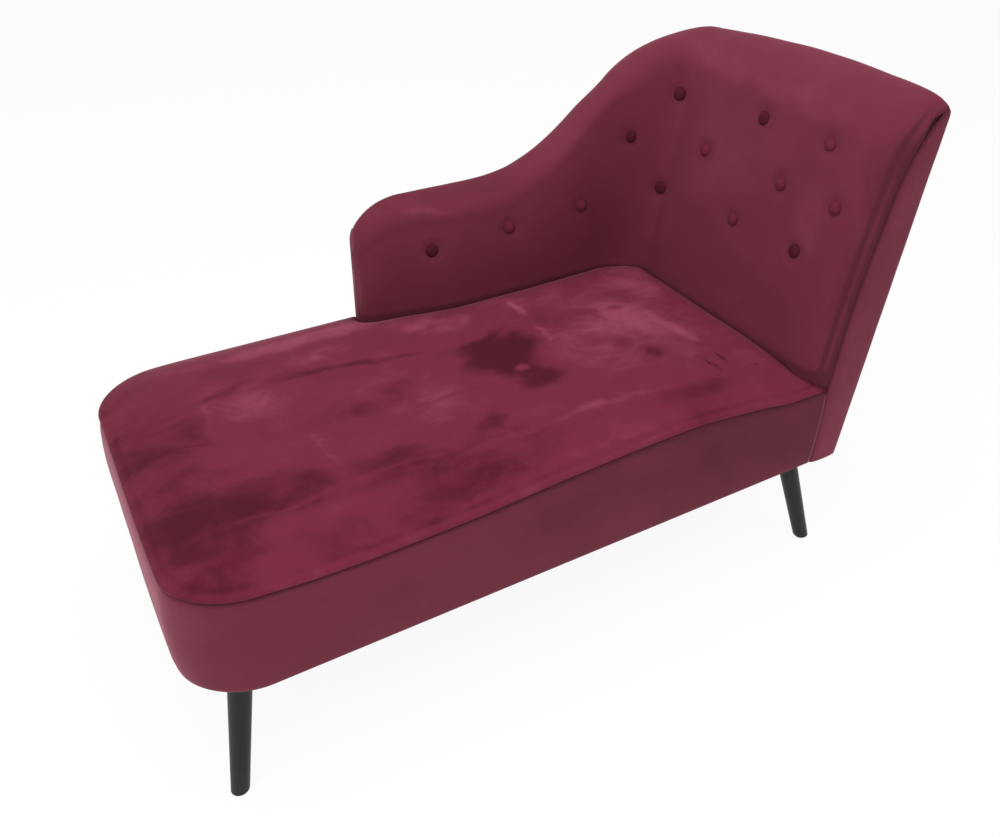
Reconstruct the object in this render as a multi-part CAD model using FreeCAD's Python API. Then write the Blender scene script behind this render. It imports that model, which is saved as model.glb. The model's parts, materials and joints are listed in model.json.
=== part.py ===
import FreeCAD, Part
import math
import os

# Chaise longue with one low arm and a raked back, 1.27 m long. It is built from the
# foot end (x = 0) towards the head end (+x), and from the open front side (y = 0)
# towards the arm side (+y), standing on the floor (z = 0). Every piece is moved at
# export, so that the origin lies on the floor under the middle of the whole chaise.
# Lengths are millimetres.

V = FreeCAD.Vector

# Base and skirt
base_length = 1155.0
base_depth = 640.0
skirt_bottom = 195.0
seam_height = 353.0
foot_radius = 100.0
corner_radius = 100.0
min_corner = 12.0

# Seat
seat_crown = 36.0
foam_underside = 337.0
welt_radius = 3.5
welt_proud = 3.0

# Back and arm
rake_slope = 0.18
crest_height = 840.0
crest_arch = 14.0
arm_height = 595.0
arm_start = 490.0
arm_nose_length = 100.0
arm_nose_drop = 80.0
sweep_length = 500.0
sweep_skew = 1.45
sweep_hollow = 11.0
hollow_reach = 75.0
outer_roll = 24.0
arm_roll = 55.0
back_roll = 90.0
arm_front_thickness = 62.0
arm_thickness = 95.0
back_thickness = 115.0
inner_corner_radius = 65.0
face_bulge = 6.0
nose_inner_radius = 26.0
nose_outer_radius = 10.0
panel_width = 80.0
panel_foot = 64.0
panel_top_width = 8.0
panel_roll = 160.0
panel_drop = 20.0
edge_roll = 60.0

# Layers, counted inwards from the outside of the velvet
cover_thickness = 1.6
wadding_thickness = 3.2
layer_gap = 0.6
rail_thickness = 22.0
board_thickness = 6.0
former_thickness = 12.0

# Timber
rail_height = 132.0
rail_lift = 4.0
post_width = 44.0
top_rail_height = 62.0
frame_drop = 16.0
cross_rail_height = 60.0
cross_rail_count = 3
leg_block_size = 102.0
leg_block_height = 60.0
cleat_height = 40.0
board_drop = 24.0
board_end = 30.0
seat_rail_height = 50.0

# Legs
leg_inset_x = 68.0
leg_inset_y = 60.0
leg_splay_x = 38.0
leg_splay_y = 44.0
leg_top_radius = 18.5
leg_tip_radius = 13.5
glide_height = 3.0
glide_radius = 11.5
plate_size = 62.0
plate_thickness = 2.5
bolt_radius = 4.0
bolt_in_leg = 45.0
bolt_in_block = 42.0
screw_radius = 2.0
screw_length = 20.0
screw_head_radius = 4.0
screw_head_height = 1.8
plate_screw_offset = 22.0
rail_screw_radius = 2.5
rail_screw_length = 60.0

# Webbing, hessian and underside
strap_width = 60.0
strap_thickness = 2.0
seat_strap_count = 7
cross_strap_count = 10
back_strap_count = 4
upright_strap_count = 4
strap_end = 6.0
strap_clear = 0.2
hessian_thickness = 1.0
dust_cover_thickness = 0.8

# Buttons
button_radius = 11.5
button_height = 7.0
dimple_radius = 60.0
dimple_depth = 8.0
twine_radius = 1.0
toggle_radius = 8.0
toggle_height = 3.0
upper_row = 742.0
middle_row = 652.0
lower_row = 558.0
outer_columns = [130.0, 288.0]
inner_columns = [78.0, 204.0, 435.0]
upper_corner_angle = 73.0
middle_corner_angle = 36.0
lower_corner_angle = 78.0
arm_row = 496.0
arm_row_rise = 14.0
arm_columns = [625.0, 787.0, 1009.0]

fit_gap = 0.6
lip_gap = 2.0
lip_edge = 4.0
foam_end = 8.0

# Depths of the layers
skin = cover_thickness + layer_gap
wadding_depth = skin
frame_depth = wadding_depth + wadding_thickness + layer_gap
frame_inside = frame_depth + rail_thickness
foam_depth = frame_inside + board_thickness + layer_gap

rail_bottom = skirt_bottom + rail_lift
rail_top = rail_bottom + rail_height

rake = math.atan(rake_slope)
corner_x = base_length - corner_radius
corner_y = base_depth - corner_radius
crest_top = crest_height + crest_arch
outer_top = base_length + rake_slope * (crest_top - outer_roll - skirt_bottom)
middle = V((outer_top - welt_proud) / 2, (base_depth - welt_proud) / 2, 0)


def save(name, *solids):
    shape = solids[0] if len(solids) == 1 else Part.makeCompound(list(solids))
    shape = shape.copy()
    shape.translate(-middle)
    shape.exportStep("parts/%s.step" % name)


def box(x0, x1, y0, y1, z0, z1):
    return Part.makeBox(x1 - x0, y1 - y0, z1 - z0, V(x0, y0, z0))


def rod(start, end, radius):
    axis = end - start
    return Part.makeCylinder(radius, axis.Length, start, axis)


def smooth(t):
    t = min(1.0, max(0.0, t))
    return t * t * (3 - 2 * t)


def nose(t):
    """Quarter of an ellipse: 0 at the very end, 1 where the rounding stops."""
    t = min(1.0, max(0.0, t))
    return math.sqrt(1 - (1 - t) ** 2)


def top_of_arm(x):
    """Height of the top line along the arm side, without the rounded end."""
    end = corner_x + corner_radius * math.radians(80)
    t = min(1.0, max(0.0, (x - end + sweep_length) / sweep_length))
    hollow = sweep_hollow * smooth(1 - abs(x - corner_x) / hollow_reach)
    return arm_height + (crest_height - arm_height) * smooth(t ** sweep_skew) - hollow


def arm_line(x, first_x):
    """Height of the top line along the arm side, with the rounded end that starts at first_x."""
    drop = arm_nose_drop * (1 - nose((x - first_x) / arm_nose_length))
    return top_of_arm(x) - drop


def crest_line(y):
    """Height of the top line along the head end."""
    return crest_height + crest_arch * math.sin(math.pi * (corner_y - y) / corner_y)


class Station:
    """One upright cut through the padded wall of the arm and back."""

    def __init__(self, outer, inner, normal, lean, top, roll, crest=None):
        self.outer = V(outer[0], outer[1], 0)
        self.run = V(inner[0], inner[1], 0) - self.outer
        self.thick = self.run.Length
        self.run.normalize()
        self.square = -(self.run.x * normal[0] + self.run.y * normal[1])
        self.lean = lean
        self.top = top
        self.roll = roll
        self.crest = crest or outer_roll
        self.shoulder = self.thick - 0.12 * self.thick

    def at(self, inwards, z):
        shift = self.lean * rake_slope * (z - skirt_bottom)
        return self.outer + self.run * inwards + V(shift, 0, z)

    def depth(self, d):
        """Distance along this cut that lies d behind the outside."""
        return d / self.square


def arm_station(x, first_x, corner_reach=255.0):
    """Cut across the arm at x, slanting more and more towards the corner."""
    slant_from = corner_x - corner_reach
    inner_x0 = base_length - back_thickness - inner_corner_radius
    share = max(0.0, x - slant_from) / corner_reach
    inner_x = x + share * (inner_x0 - corner_x)
    thick = arm_front_thickness
    thick += (arm_thickness - arm_front_thickness) * smooth((x - arm_start) / 200.0)
    inner_off = nose_inner_radius * (1 - nose((x - first_x) / nose_inner_radius))
    outer_off = nose_outer_radius * (1 - nose((x - first_x) / nose_outer_radius))
    outer = (x, base_depth - outer_off)
    inner = (inner_x, base_depth - thick + inner_off)
    return Station(outer, inner, (0, 1), 0.0, arm_line(x, first_x), arm_roll)


def corner_station(angle):
    """Cut across the rounded corner; angle 0 is square to the arm."""
    a = math.radians(angle)
    s, c = math.sin(a), math.cos(a)
    share = angle / 90.0
    inner_x0 = base_length - back_thickness - inner_corner_radius
    inner_y0 = base_depth - arm_thickness - inner_corner_radius
    outer = (corner_x + corner_radius * s, corner_y + corner_radius * c)
    inner = (inner_x0 + inner_corner_radius * s, inner_y0 + inner_corner_radius * c)
    roll = arm_roll + (back_roll - arm_roll) * smooth(share)
    top = top_of_arm(corner_x + corner_radius * a)
    return Station(outer, inner, (s, c), smooth(share), top, roll)


def back_station(y, first_y, corner_reach=240.0):
    """Cut across the back at y; the front edge rolls over to the side panel."""
    inner_y0 = base_depth - arm_thickness - inner_corner_radius
    slant_from = corner_y - corner_reach
    share = max(0.0, y - slant_from) / corner_reach
    inner_y = y + share * (inner_y0 - corner_y)
    edge = nose((y - first_y) / edge_roll)
    thick = panel_width + (back_thickness - panel_width) * edge
    top = crest_line(y) - panel_drop * (1 - edge)
    roll = panel_roll + (back_roll - panel_roll) * edge
    crest = panel_top_width + (outer_roll - panel_top_width) * edge
    outer = (base_length, y)
    inner = (base_length - thick, inner_y)
    return Station(outer, inner, (1, 0), 1.0, top, roll, crest)


def wall_stations(arm_from, back_to, within=0.0):
    """Cuts from the arm's rounded end, round the corner, to the back's front edge.

    The rounded ends start this far within those of the cover.
    """
    first_x, first_y = arm_start + within, skin + within
    near = [0.0, 1.5, 5.0, 12.0, 24.0, 42.0, 68.0, 100.0, 160.0]
    arm = [arm_station(arm_from, first_x)]
    arm += [arm_station(first_x + d, first_x) for d in near if first_x + d > arm_from + fit_gap]
    count = 7
    start = first_x + near[-1]
    for i in range(1, count + 1):
        arm.append(arm_station(start + (corner_x - start) * i / count, first_x))
    corner = [corner_station(15.0 * i) for i in range(1, 6)]
    far = [1.0, 0.88, 0.72, 0.56, 0.4, 0.25]
    back = [back_station(corner_y * f, first_y) for f in far]
    close = [edge_roll, 36.0, 19.0, 8.0, 2.5, 0.0]
    back += [back_station(first_y + d, first_y) for d in close if first_y + d > back_to + fit_gap]
    back.append(back_station(back_to, first_y))
    return arm + corner + back


def arc(a, b, c):
    return Part.Arc(a, b, c).toShape()


def line(a, b):
    return Part.makeLine(a, b)


def roll_middle(st, crest_in, inset):
    """Middle of the arc from the crest to the shoulder, square to whichever is nearer."""
    w = st.shoulder - crest_in
    h = st.roll
    if h >= w:
        radius = (w * w + h * h) / (2 * w)
        turn = math.asin(h / radius) / 2
        inwards = st.shoulder - radius + (radius - inset) * math.cos(turn)
        return st.at(inwards, st.top - h + (radius - inset) * math.sin(turn))
    radius = (w * w + h * h) / (2 * h)
    turn = math.asin(w / radius) / 2
    z = st.top - radius + (radius - inset) * math.cos(turn)
    return st.at(crest_in + (radius - inset) * math.sin(turn), z)


def padded_edges(st, inset, low):
    """Edges from the outer top roll, over the crest and down the padded face."""
    half = math.sqrt(0.5)
    first = st.depth(skin)
    crest_in = first + st.crest
    crest_r = st.crest
    shoulder_z = st.top - st.roll
    seat_z = seam_height + seat_crown + 5.0
    start = st.at(first + inset, st.top - crest_r)
    over = st.at(first + crest_r * (1 - half) + inset * half, st.top - crest_r * (1 - half) - inset * half)
    crest = st.at(crest_in, st.top - inset)
    shoulder = st.at(st.shoulder - inset, shoulder_z)
    bend = roll_middle(st, crest_in, inset)
    belly_in = (st.shoulder + st.thick) / 2 + face_bulge - inset
    belly = st.at(belly_in, (shoulder_z + seat_z) / 2)
    tuck = st.at(st.thick - inset, seat_z)
    foot = st.at(st.thick - inset, low)
    edges = [arc(start, over, crest), arc(crest, bend, shoulder)]
    edges += [arc(shoulder, belly, tuck), line(tuck, foot)]
    return start, edges, foot


def body_wire(st):
    """Whole outline of the padded wall inside its outer covers."""
    start, edges, foot = padded_edges(st, 0.0, foam_underside)
    back_foot = st.at(st.depth(skin), foam_underside)
    return Part.Wire(edges + [line(foot, back_foot), line(back_foot, start)])


def core_wire(st):
    """Space that the inner cover leaves: one cover thickness smaller, open behind."""
    start, edges, foot = padded_edges(st, cover_thickness, foam_underside - 8.0)
    behind = -8.0
    low = st.at(behind, foam_underside - 8.0)
    high = st.at(behind, st.top - st.crest)
    return Part.Wire(edges + [line(foot, low), line(low, high), line(high, start)])


def foam_wire(st):
    """Foam in front of the frame, with a lip over the top rail."""
    inset = skin
    start, edges, foot = padded_edges(st, inset, foam_underside + fit_gap)
    low = st.at(st.depth(foam_depth), foam_underside + fit_gap)
    under = st.top - frame_drop + lip_gap
    inside = st.at(st.depth(foam_depth), under)
    lip_in = st.depth(frame_depth + lip_edge)
    lip = st.at(lip_in, under)
    crest_in = st.depth(skin) + st.crest
    radius = st.crest - inset
    rise = math.sqrt(max(1.0, radius ** 2 - (crest_in - lip_in) ** 2))
    lip_top = st.at(lip_in, st.top - st.crest + rise)
    crest = st.at(crest_in, st.top - inset)
    half = math.radians(25)
    mid = st.at(crest_in - radius * math.sin(half), st.top - st.crest + radius * math.cos(half))
    return Part.Wire([arc(lip_top, mid, crest)] + edges[1:]
                     + [line(foot, low), line(low, inside), line(inside, lip), line(lip, lip_top)])


def loft(wires):
    return Part.makeLoft(wires, True, True)


def layer_wire(st, d0, d1, low, drop):
    """Upright strip of even depth, as cloth or board bent round the corner."""
    corners = [st.at(d0, low), st.at(d0, st.top - drop), st.at(d1, st.top - drop), st.at(d1, low)]
    return Part.makePolygon(corners + corners[:1])


def round_station(angle):
    """Cut square through the corner's outer layers."""
    a = math.radians(angle)
    outer = (corner_x + corner_radius * math.sin(a), corner_y + corner_radius * math.cos(a))
    top = top_of_arm(corner_x + corner_radius * a)
    return Station(outer, (corner_x, corner_y), (math.sin(a), math.cos(a)), smooth(angle / 90.0), top, 0)


def straight_station(y):
    """Cut square through the back's outer layers."""
    return Station((base_length, y), (0, y), (1, 0), 1.0, crest_line(y), 0)


def corner_layer(d0, d1, low, drop, back_to=None):
    """Layer bent round the corner, and on along the back if it goes that far."""
    cuts = [round_station(15.0 * i) for i in range(7)]
    if back_to is not None:
        steps = 8
        cuts += [straight_station(corner_y + (back_to - corner_y) * i / steps) for i in range(1, steps + 1)]
    return loft([layer_wire(st, d0, d1, low, drop) for st in cuts])


def keep_out(gap):
    """Space the wall takes at seat level, grown by a gap."""
    wires = []
    for st in wall_stations(arm_start - gap, -20.0):
        a, b = -40.0, st.thick + gap
        low, high = foam_underside - 30.0, seam_height + seat_crown + 60.0
        corners = [st.at(a, low), st.at(a, high), st.at(b, high), st.at(b, low)]
        wires.append(Part.makePolygon(corners + corners[:1]))
    return loft(wires)


def arm_outline(x0, x1, drop, low, depth, within):
    """Upright outline in the arm's plane: flat below, following the top line above."""
    steps = 20
    y = base_depth - depth
    tops = [V(x0 + (x1 - x0) * (1 - i / steps) ** 1.5, y, 0) for i in range(steps + 1)]
    for p in tops:
        p.z = arm_line(p.x, arm_start + within) - drop
    sweep = Part.BSplineCurve()
    sweep.interpolate(tops)
    right, left = V(x1, y, low), V(x0, y, low)
    return Part.Face(Part.Wire([line(left, right), line(right, tops[0]), sweep.toShape(), line(tops[-1], left)]))


def arm_board_shape(x0, x1, drop, low, depth, thick, within=0.0):
    return arm_outline(x0, x1, drop, low, depth, within).extrude(V(0, -thick, 0))


def rail_between(x0, x1, drop, width, depth, thick):
    """Board whose upper and lower edges both follow the arm's top line."""
    whole = arm_board_shape(x0, x1, drop, rail_top, depth, thick, 2 * skin)
    under = arm_board_shape(x0 - 1, x1 + 1, drop + width, rail_top - 1, depth - 1, thick + 2, 2 * skin)
    return whole.cut(under)


def on_rake(depth, y, up):
    """Point of the raked back plane: depth behind its outside, up along its slope."""
    x = base_length + up * math.sin(rake) - depth * math.cos(rake)
    return V(x, y, skirt_bottom + up * math.cos(rake) + depth * math.sin(rake))


def up_to(z, depth):
    """Distance up the slope at which a point of this depth reaches height z."""
    return (z - skirt_bottom - depth * math.sin(rake)) / math.cos(rake)


def raked_board(depth, thick, y0, y1, low, high):
    a, b = on_rake(depth, y0, up_to(low, depth)), on_rake(depth, y1, up_to(low, depth))
    c, d = on_rake(depth, y1, up_to(high, depth)), on_rake(depth, y0, up_to(high, depth))
    inwards = on_rake(depth + thick, y0, 0) - on_rake(depth, y0, 0)
    return Part.Face(Part.makePolygon([a, b, c, d, a])).extrude(inwards)


def raked_panel(depth, thick, y0, y1, low, drop):
    """Board in the back's plane with an arched top edge, rounded off at the open side."""
    steps = 16
    tops = []
    for i in range(steps + 1):
        y = y0 + (y1 - y0) * (1 - i / steps) ** 2
        tops.append(on_rake(depth, y, up_to(back_station(y, skin).top - drop, depth)))
    arch = Part.BSplineCurve()
    arch.interpolate(tops)
    a, b = on_rake(depth, y0, up_to(low, depth)), on_rake(depth, y1, up_to(low, depth))
    edges = [line(a, b), line(b, tops[0]), arch.toShape(), line(tops[-1], a)]
    inwards = on_rake(depth + thick, y0, 0) - on_rake(depth, y0, 0)
    return Part.Face(Part.Wire(edges)).extrude(inwards)


def plan_wire(inset, z, head_radius, head_inset):
    """Outline in plan, drawn in by an inset: round foot corners, and one round arm corner."""
    x0, x1, y0, y1 = inset, base_length - head_inset, inset, base_depth - inset
    r = max(min_corner, foot_radius - inset)
    q = head_radius
    k = math.sqrt(0.5)
    foot_front = arc(V(x0, y0 + r, z), V(x0 + r - r * k, y0 + r - r * k, z), V(x0 + r, y0, z))
    foot_rear = arc(V(x0 + r, y1, z), V(x0 + r - r * k, y1 - r + r * k, z), V(x0, y1 - r, z))
    edges = [foot_front, line(V(x0 + r, y0, z), V(x1, y0, z)), line(V(x1, y0, z), V(x1, y1 - q, z))]
    if q > 0:
        edges.append(arc(V(x1, y1 - q, z), V(x1 - q + q * k, y1 - q + q * k, z), V(x1 - q, y1, z)))
    edges += [line(V(x1 - q, y1, z), V(x0 + r, y1, z)), foot_rear, line(V(x0, y1 - r, z), V(x0, y0 + r, z))]
    return Part.Wire(edges)


def plan_prism(inset, z0, z1):
    """Block with the outline of the base."""
    outline = plan_wire(inset, z0, corner_radius - inset, inset)
    return Part.Face(outline).extrude(V(0, 0, z1 - z0))


def seat_wire(inset, z):
    """Outline of the seat pad, running on under the back."""
    return plan_wire(inset, z, 0, 0)


def crown(side, under, low):
    """Seat pad with a crowned top, drawn in at its side and lowered by the cloth over it."""
    steps = [(0.0, 0.0), (3.0, 0.06), (8.0, 0.15), (18.0, 0.30), (34.0, 0.47), (58.0, 0.64),
             (95.0, 0.79), (140.0, 0.91), (200.0, 0.98), (250.0, 1.0)]
    edge_z = seam_height + welt_radius + fit_gap - under
    wires = [seat_wire(side, low)]
    for step, share in steps:
        wires.append(seat_wire(max(side, under + step), edge_z + seat_crown * share))
    return loft(wires)


def welt_path():
    """Seam line from under the back, along the front, round the foot and up to the arm."""
    inset = welt_radius - welt_proud
    x0, y0, y1 = inset, inset, base_depth - inset
    r = foot_radius - inset
    k = math.sqrt(0.5)
    z = seam_height
    front = line(V(base_length, y0, z), V(x0 + r, y0, z))
    first = arc(V(x0 + r, y0, z), V(x0 + r - r * k, y0 + r - r * k, z), V(x0, y0 + r, z))
    foot = line(V(x0, y0 + r, z), V(x0, y1 - r, z))
    second = arc(V(x0, y1 - r, z), V(x0 + r - r * k, y1 - r + r * k, z), V(x0 + r, y1, z))
    rear = line(V(x0 + r, y1, z), V(arm_start + arm_nose_length, y1, z))
    return Part.Wire([front, first, foot, second, rear])


def button(place, facing):
    """Covered button: a short rim under a low dome."""
    dome_rise = button_height * 0.45
    rim = button_height - dome_rise
    dome = (button_radius ** 2 + dome_rise ** 2) / (2 * dome_rise)
    turn = math.asin(button_radius / dome) / 2
    a, b, c = V(0, 0, 0), V(button_radius, 0, 0), V(button_radius, 0, rim)
    top = V(0, 0, button_height)
    side = V(dome * math.sin(turn), 0, button_height - dome + dome * math.cos(turn))
    half = Part.Wire([line(a, b), line(b, c), arc(c, side, top), line(top, a)])
    solid = Part.Face(half).revolve(V(0, 0, 0), V(0, 0, 1), 360)
    turn_to = FreeCAD.Rotation(V(0, 0, 1), facing)
    solid.Placement = FreeCAD.Placement(place, turn_to)
    return solid


def face_depth(st, z):
    """How far in the padded face lies on a cut, at height z."""
    shoulder_z = st.top - st.roll
    seat_z = seam_height + seat_crown + 5.0
    t = (z - seat_z) / (shoulder_z - seat_z)
    lead = st.thick + (st.shoulder - st.thick) * t
    return lead + face_bulge * 4 * t * (1 - t)


def button_seat(st, z):
    """Place on the padded face, the direction that it faces, and its toggle's place."""
    low, high = st.at(face_depth(st, z - 20), z - 20), st.at(face_depth(st, z + 20), z + 20)
    up = high - low
    across = st.run.cross(V(0, 0, 1))
    facing = up.cross(across)
    if facing.dot(st.run) < 0:
        facing = -facing
    facing.normalize()
    anchor = st.at(st.depth(foam_depth + 2 * toggle_height), z)
    return st.at(face_depth(st, z), z), facing, anchor


def button_seats():
    arm = [arm_station(x, arm_start) for x in arm_columns]
    seats = [button_seat(st, arm_row + arm_row_rise * i) for i, st in enumerate(arm)]
    for y in outer_columns:
        seats.append(button_seat(back_station(y, skin), upper_row))
        seats.append(button_seat(back_station(y, skin), lower_row))
    for y in inner_columns:
        seats.append(button_seat(back_station(y, skin), middle_row))
    seats.append(button_seat(corner_station(upper_corner_angle), upper_row - 10))
    seats.append(button_seat(corner_station(middle_corner_angle), middle_row))
    seats.append(button_seat(corner_station(lower_corner_angle), lower_row - 8))
    return seats


def dimple(place, facing, extra=0.0):
    centre = place + facing * (dimple_radius - dimple_depth)
    return Part.makeSphere(dimple_radius + extra, centre)


def half_space(point, normal):
    """Large block on the side of a plane that the normal points to."""
    size = 3000.0
    block = Part.makeBox(size, size, size, V(-size / 2, -size / 2, 0))
    block.Placement = FreeCAD.Placement(point, FreeCAD.Rotation(V(0, 0, 1), normal))
    return block


def raked_x(z, depth):
    """Where a plane this far behind the back's outside stands at height z."""
    return base_length + rake_slope * (z - skirt_bottom) - depth / math.cos(rake)


os.makedirs("parts", exist_ok=True)

# Buttons sit in dimples, each held by a twine that ends in a toggle in the foam
seats = button_seats()
buttons = []
twines = []
twine_holes = []
toggles = []
lift = dimple_radius - math.sqrt(dimple_radius ** 2 - button_radius ** 2) + fit_gap / 2
for place, facing, anchor in seats:
    base = place - facing * (dimple_depth - lift)
    back_to = anchor - base
    back_to.normalize()
    buttons.append(button(base, facing))
    twines.append(rod(base + back_to * fit_gap, anchor, twine_radius))
    twine_holes.append(rod(base, anchor, twine_radius + fit_gap / 2))
    toggles.append(rod(anchor, anchor + back_to * toggle_height, toggle_radius))
save("arm_buttons", *buttons[:len(arm_columns)])
save("back_buttons", *buttons[len(arm_columns):])
save("button_twines", *twines)
save("button_toggles", *toggles)

# Inner cover: velvet from the outer top edge over the crest and down the padded face
body = loft([body_wire(st) for st in wall_stations(arm_start, skin)])
core_from = arm_start + cover_thickness
core = loft([core_wire(st) for st in wall_stations(core_from, -skin, cover_thickness)])
body = body.cut(Part.makeCompound([dimple(p, f) for p, f, a in seats]))
core = core.cut(Part.makeCompound([dimple(p, f, cover_thickness) for p, f, a in seats]))
inner_cover = body.cut(core).cut(Part.makeCompound(twine_holes))
save("inner_cover", inner_cover)

# Foam under it, in one length on the arm and one on the back
foam = loft([foam_wire(st) for st in wall_stations(arm_start + foam_end, skin + foam_end, skin)])
foam = foam.cut(Part.makeCompound([dimple(p, f, skin) for p, f, a in seats]))
foam = foam.cut(Part.makeCompound(twines)).cut(Part.makeCompound(toggles))
mitre = corner_station(45.0)
head_half = half_space(mitre.outer, V(-mitre.run.y, mitre.run.x, 0))
save("arm_foam", foam.cut(head_half))
save("back_foam", foam.common(head_half))

# Frame of the arm: two posts on the rear rail, a sawn top rail and a thin board
post_in = arm_start + nose_inner_radius - nose_outer_radius
board_in = post_in + post_width
rear_post_in = corner_x - post_width
rear_end = corner_x - fit_gap
under_rail = frame_drop + top_rail_height + fit_gap
save("arm_front_post", arm_board_shape(post_in, board_in, under_rail, rail_top, frame_depth, rail_thickness,
                                       2 * skin))
save("arm_rear_post", arm_board_shape(rear_post_in, rear_end, under_rail, rail_top, frame_depth, rail_thickness,
                                      2 * skin))
save("arm_top_rail", rail_between(post_in, rear_end, frame_drop, top_rail_height, frame_depth, rail_thickness))
save("arm_board", arm_board_shape(post_in, corner_x - board_end, board_drop, foam_underside + fit_gap,
                                  frame_inside, board_thickness, 2 * skin))

# Frame of the corner: one bent former between the arm and the back
former_inside = frame_depth + former_thickness
former_low = rail_bottom + screw_length
save("corner_former", corner_layer(frame_depth, former_inside, former_low, board_drop))

# Frame of the back: raked posts, sawn crest rail, seat rail and head rail
tilt_rise = rail_thickness * math.sin(rake)
back_top = crest_height - frame_drop - tilt_rise - top_rail_height
post_end = frame_depth + post_width
inner_post = corner_y - post_width
back_end = corner_y - fit_gap
save("back_front_post", raked_board(frame_depth, rail_thickness, frame_depth, post_end, rail_bottom, back_top))
save("back_inner_post", raked_board(frame_depth, rail_thickness, inner_post, back_end, rail_bottom, back_top))
save("back_crest_rail", raked_panel(frame_depth, rail_thickness, frame_depth, back_end, back_top + fit_gap,
                                    frame_drop + tilt_rise))
save("head_rail", raked_board(frame_depth, rail_thickness, post_end, inner_post, rail_bottom, rail_top))
seat_rail_low = seam_height + seat_crown
save("back_seat_rail", raked_board(frame_depth, rail_thickness, post_end, inner_post,
                                   seat_rail_low, seat_rail_low + seat_rail_height))

# Straps and hessian of the back, under the foam
strap_depth = frame_inside + strap_clear
upright_depth = strap_depth + strap_thickness + strap_clear
back_hessian_depth = upright_depth + strap_thickness + strap_clear
hessian_front = frame_depth + strap_end
hessian_end = back_end - strap_end
webbing = []
strap_from = seat_rail_low + strap_width / 3
strap_pitch = (back_top - strap_from) / back_strap_count
for i in range(back_strap_count):
    low = strap_from + strap_pitch * i
    webbing.append(raked_board(strap_depth, strap_thickness, hessian_front, hessian_end,
                               low, low + strap_width))
upright_pitch = (inner_post - post_end) / upright_strap_count
for i in range(upright_strap_count):
    y = post_end + upright_pitch * (i + 0.5) - strap_width / 2
    webbing.append(raked_board(upright_depth, strap_thickness, y, y + strap_width,
                               seat_rail_low, back_top + strap_width / 3))
save("back_webbing", *webbing)
save("back_hessian", raked_board(back_hessian_depth, hessian_thickness, hessian_front, hessian_end,
                                 foam_underside + 2 * strap_end, back_top + strap_width / 2))

# Legs: tapered and splayed, each on a plate under its corner
leg_top = rail_bottom - plate_thickness
leg_places = {
    "foot_front": (leg_inset_x, leg_inset_y, -1, -1),
    "foot_rear": (leg_inset_x, base_depth - leg_inset_y, -1, 1),
    "head_front": (base_length - leg_inset_x, leg_inset_y, 1, -1),
    "head_rear": (base_length - leg_inset_x, base_depth - leg_inset_y, 1, 1),
}
bolts = []
plates = []
plate_screws = []
glides = []
for name, (x, y, sx, sy) in leg_places.items():
    top = V(x, y, leg_top)
    slope = V(sx * leg_splay_x, sy * leg_splay_y, -skirt_bottom)
    reach = slope * ((leg_top - glide_height) / skirt_bottom)
    tip = top + reach
    spare = slope * 0.1
    taper = (leg_top_radius - leg_tip_radius) / reach.Length * spare.Length
    start, end = top - spare, tip + spare
    cone = Part.makeCone(leg_top_radius + taper, leg_tip_radius - taper, (end - start).Length, start, slope)
    level = box(x - 200, x + 200, y - 200, y + 200, glide_height, leg_top)
    bolt = rod(top + slope * (bolt_in_leg / slope.Length), top - slope * (bolt_in_block / slope.Length),
               bolt_radius)
    save("leg_" + name, cone.common(level).cut(bolt))
    bolts.append(bolt)
    half = plate_size / 2
    plate = box(x - half, x + half, y - half, y + half, leg_top, rail_bottom).cut(bolt)
    screws = []
    for dx in (-plate_screw_offset, plate_screw_offset):
        for dy in (-plate_screw_offset, plate_screw_offset):
            head = rod(V(x + dx, y + dy, leg_top - screw_head_height), V(x + dx, y + dy, leg_top),
                       screw_head_radius)
            shank = rod(V(x + dx, y + dy, leg_top), V(x + dx, y + dy, leg_top + screw_length), screw_radius)
            screws.append(head.fuse(shank))
    plates.append(plate.cut(Part.makeCompound(screws)))
    plate_screws += screws
    glides.append(rod(V(tip.x, tip.y, 0), V(tip.x, tip.y, glide_height), glide_radius))
save("leg_bolts", *bolts)
save("leg_plates", *plates)
save("plate_screws", *plate_screws)
save("leg_glides", *glides)

# Base frame: rails, rounded corner blocks, cross rails, cleats and leg blocks
cross_x = [foot_radius + (base_length - 2 * foot_radius) * (i + 1) / (cross_rail_count + 1)
           for i in range(cross_rail_count)]
screw_z = rail_top - cross_rail_height / 2
rail_screws = []
for x in cross_x:
    for y, way in ((frame_depth, 1), (base_depth - frame_depth, -1)):
        rail_screws.append(rod(V(x, y, screw_z), V(x, y + way * rail_screw_length, screw_z), rail_screw_radius))
save("rail_screws", *rail_screws)
holes = Part.makeCompound(bolts + plate_screws + rail_screws)


def bored(name, shape):
    save(name, shape.cut(holes))


inside = frame_inside + fit_gap
rail_head = [V(foot_radius, frame_depth, rail_bottom), V(raked_x(rail_bottom, inside), frame_depth, rail_bottom),
             V(raked_x(rail_top, inside), frame_depth, rail_top), V(foot_radius, frame_depth, rail_top)]
front_rail = Part.Face(Part.makePolygon(rail_head + rail_head[:1])).extrude(V(0, rail_thickness, 0))
bored("front_rail", front_rail)
bored("rear_rail", box(foot_radius, rear_end, base_depth - frame_inside, base_depth - frame_depth,
                       rail_bottom, rail_top))
bored("foot_rail", box(frame_depth, frame_inside, foot_radius, base_depth - foot_radius, rail_bottom, rail_top))
ring = plan_prism(frame_depth, rail_bottom, rail_top).cut(plan_prism(frame_inside, rail_bottom, rail_top))
bored("corner_block_front", ring.common(box(0, foot_radius, 0, foot_radius, 0, rail_top)))
bored("corner_block_rear", ring.common(box(0, foot_radius, base_depth - foot_radius, base_depth, 0, rail_top)))

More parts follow.
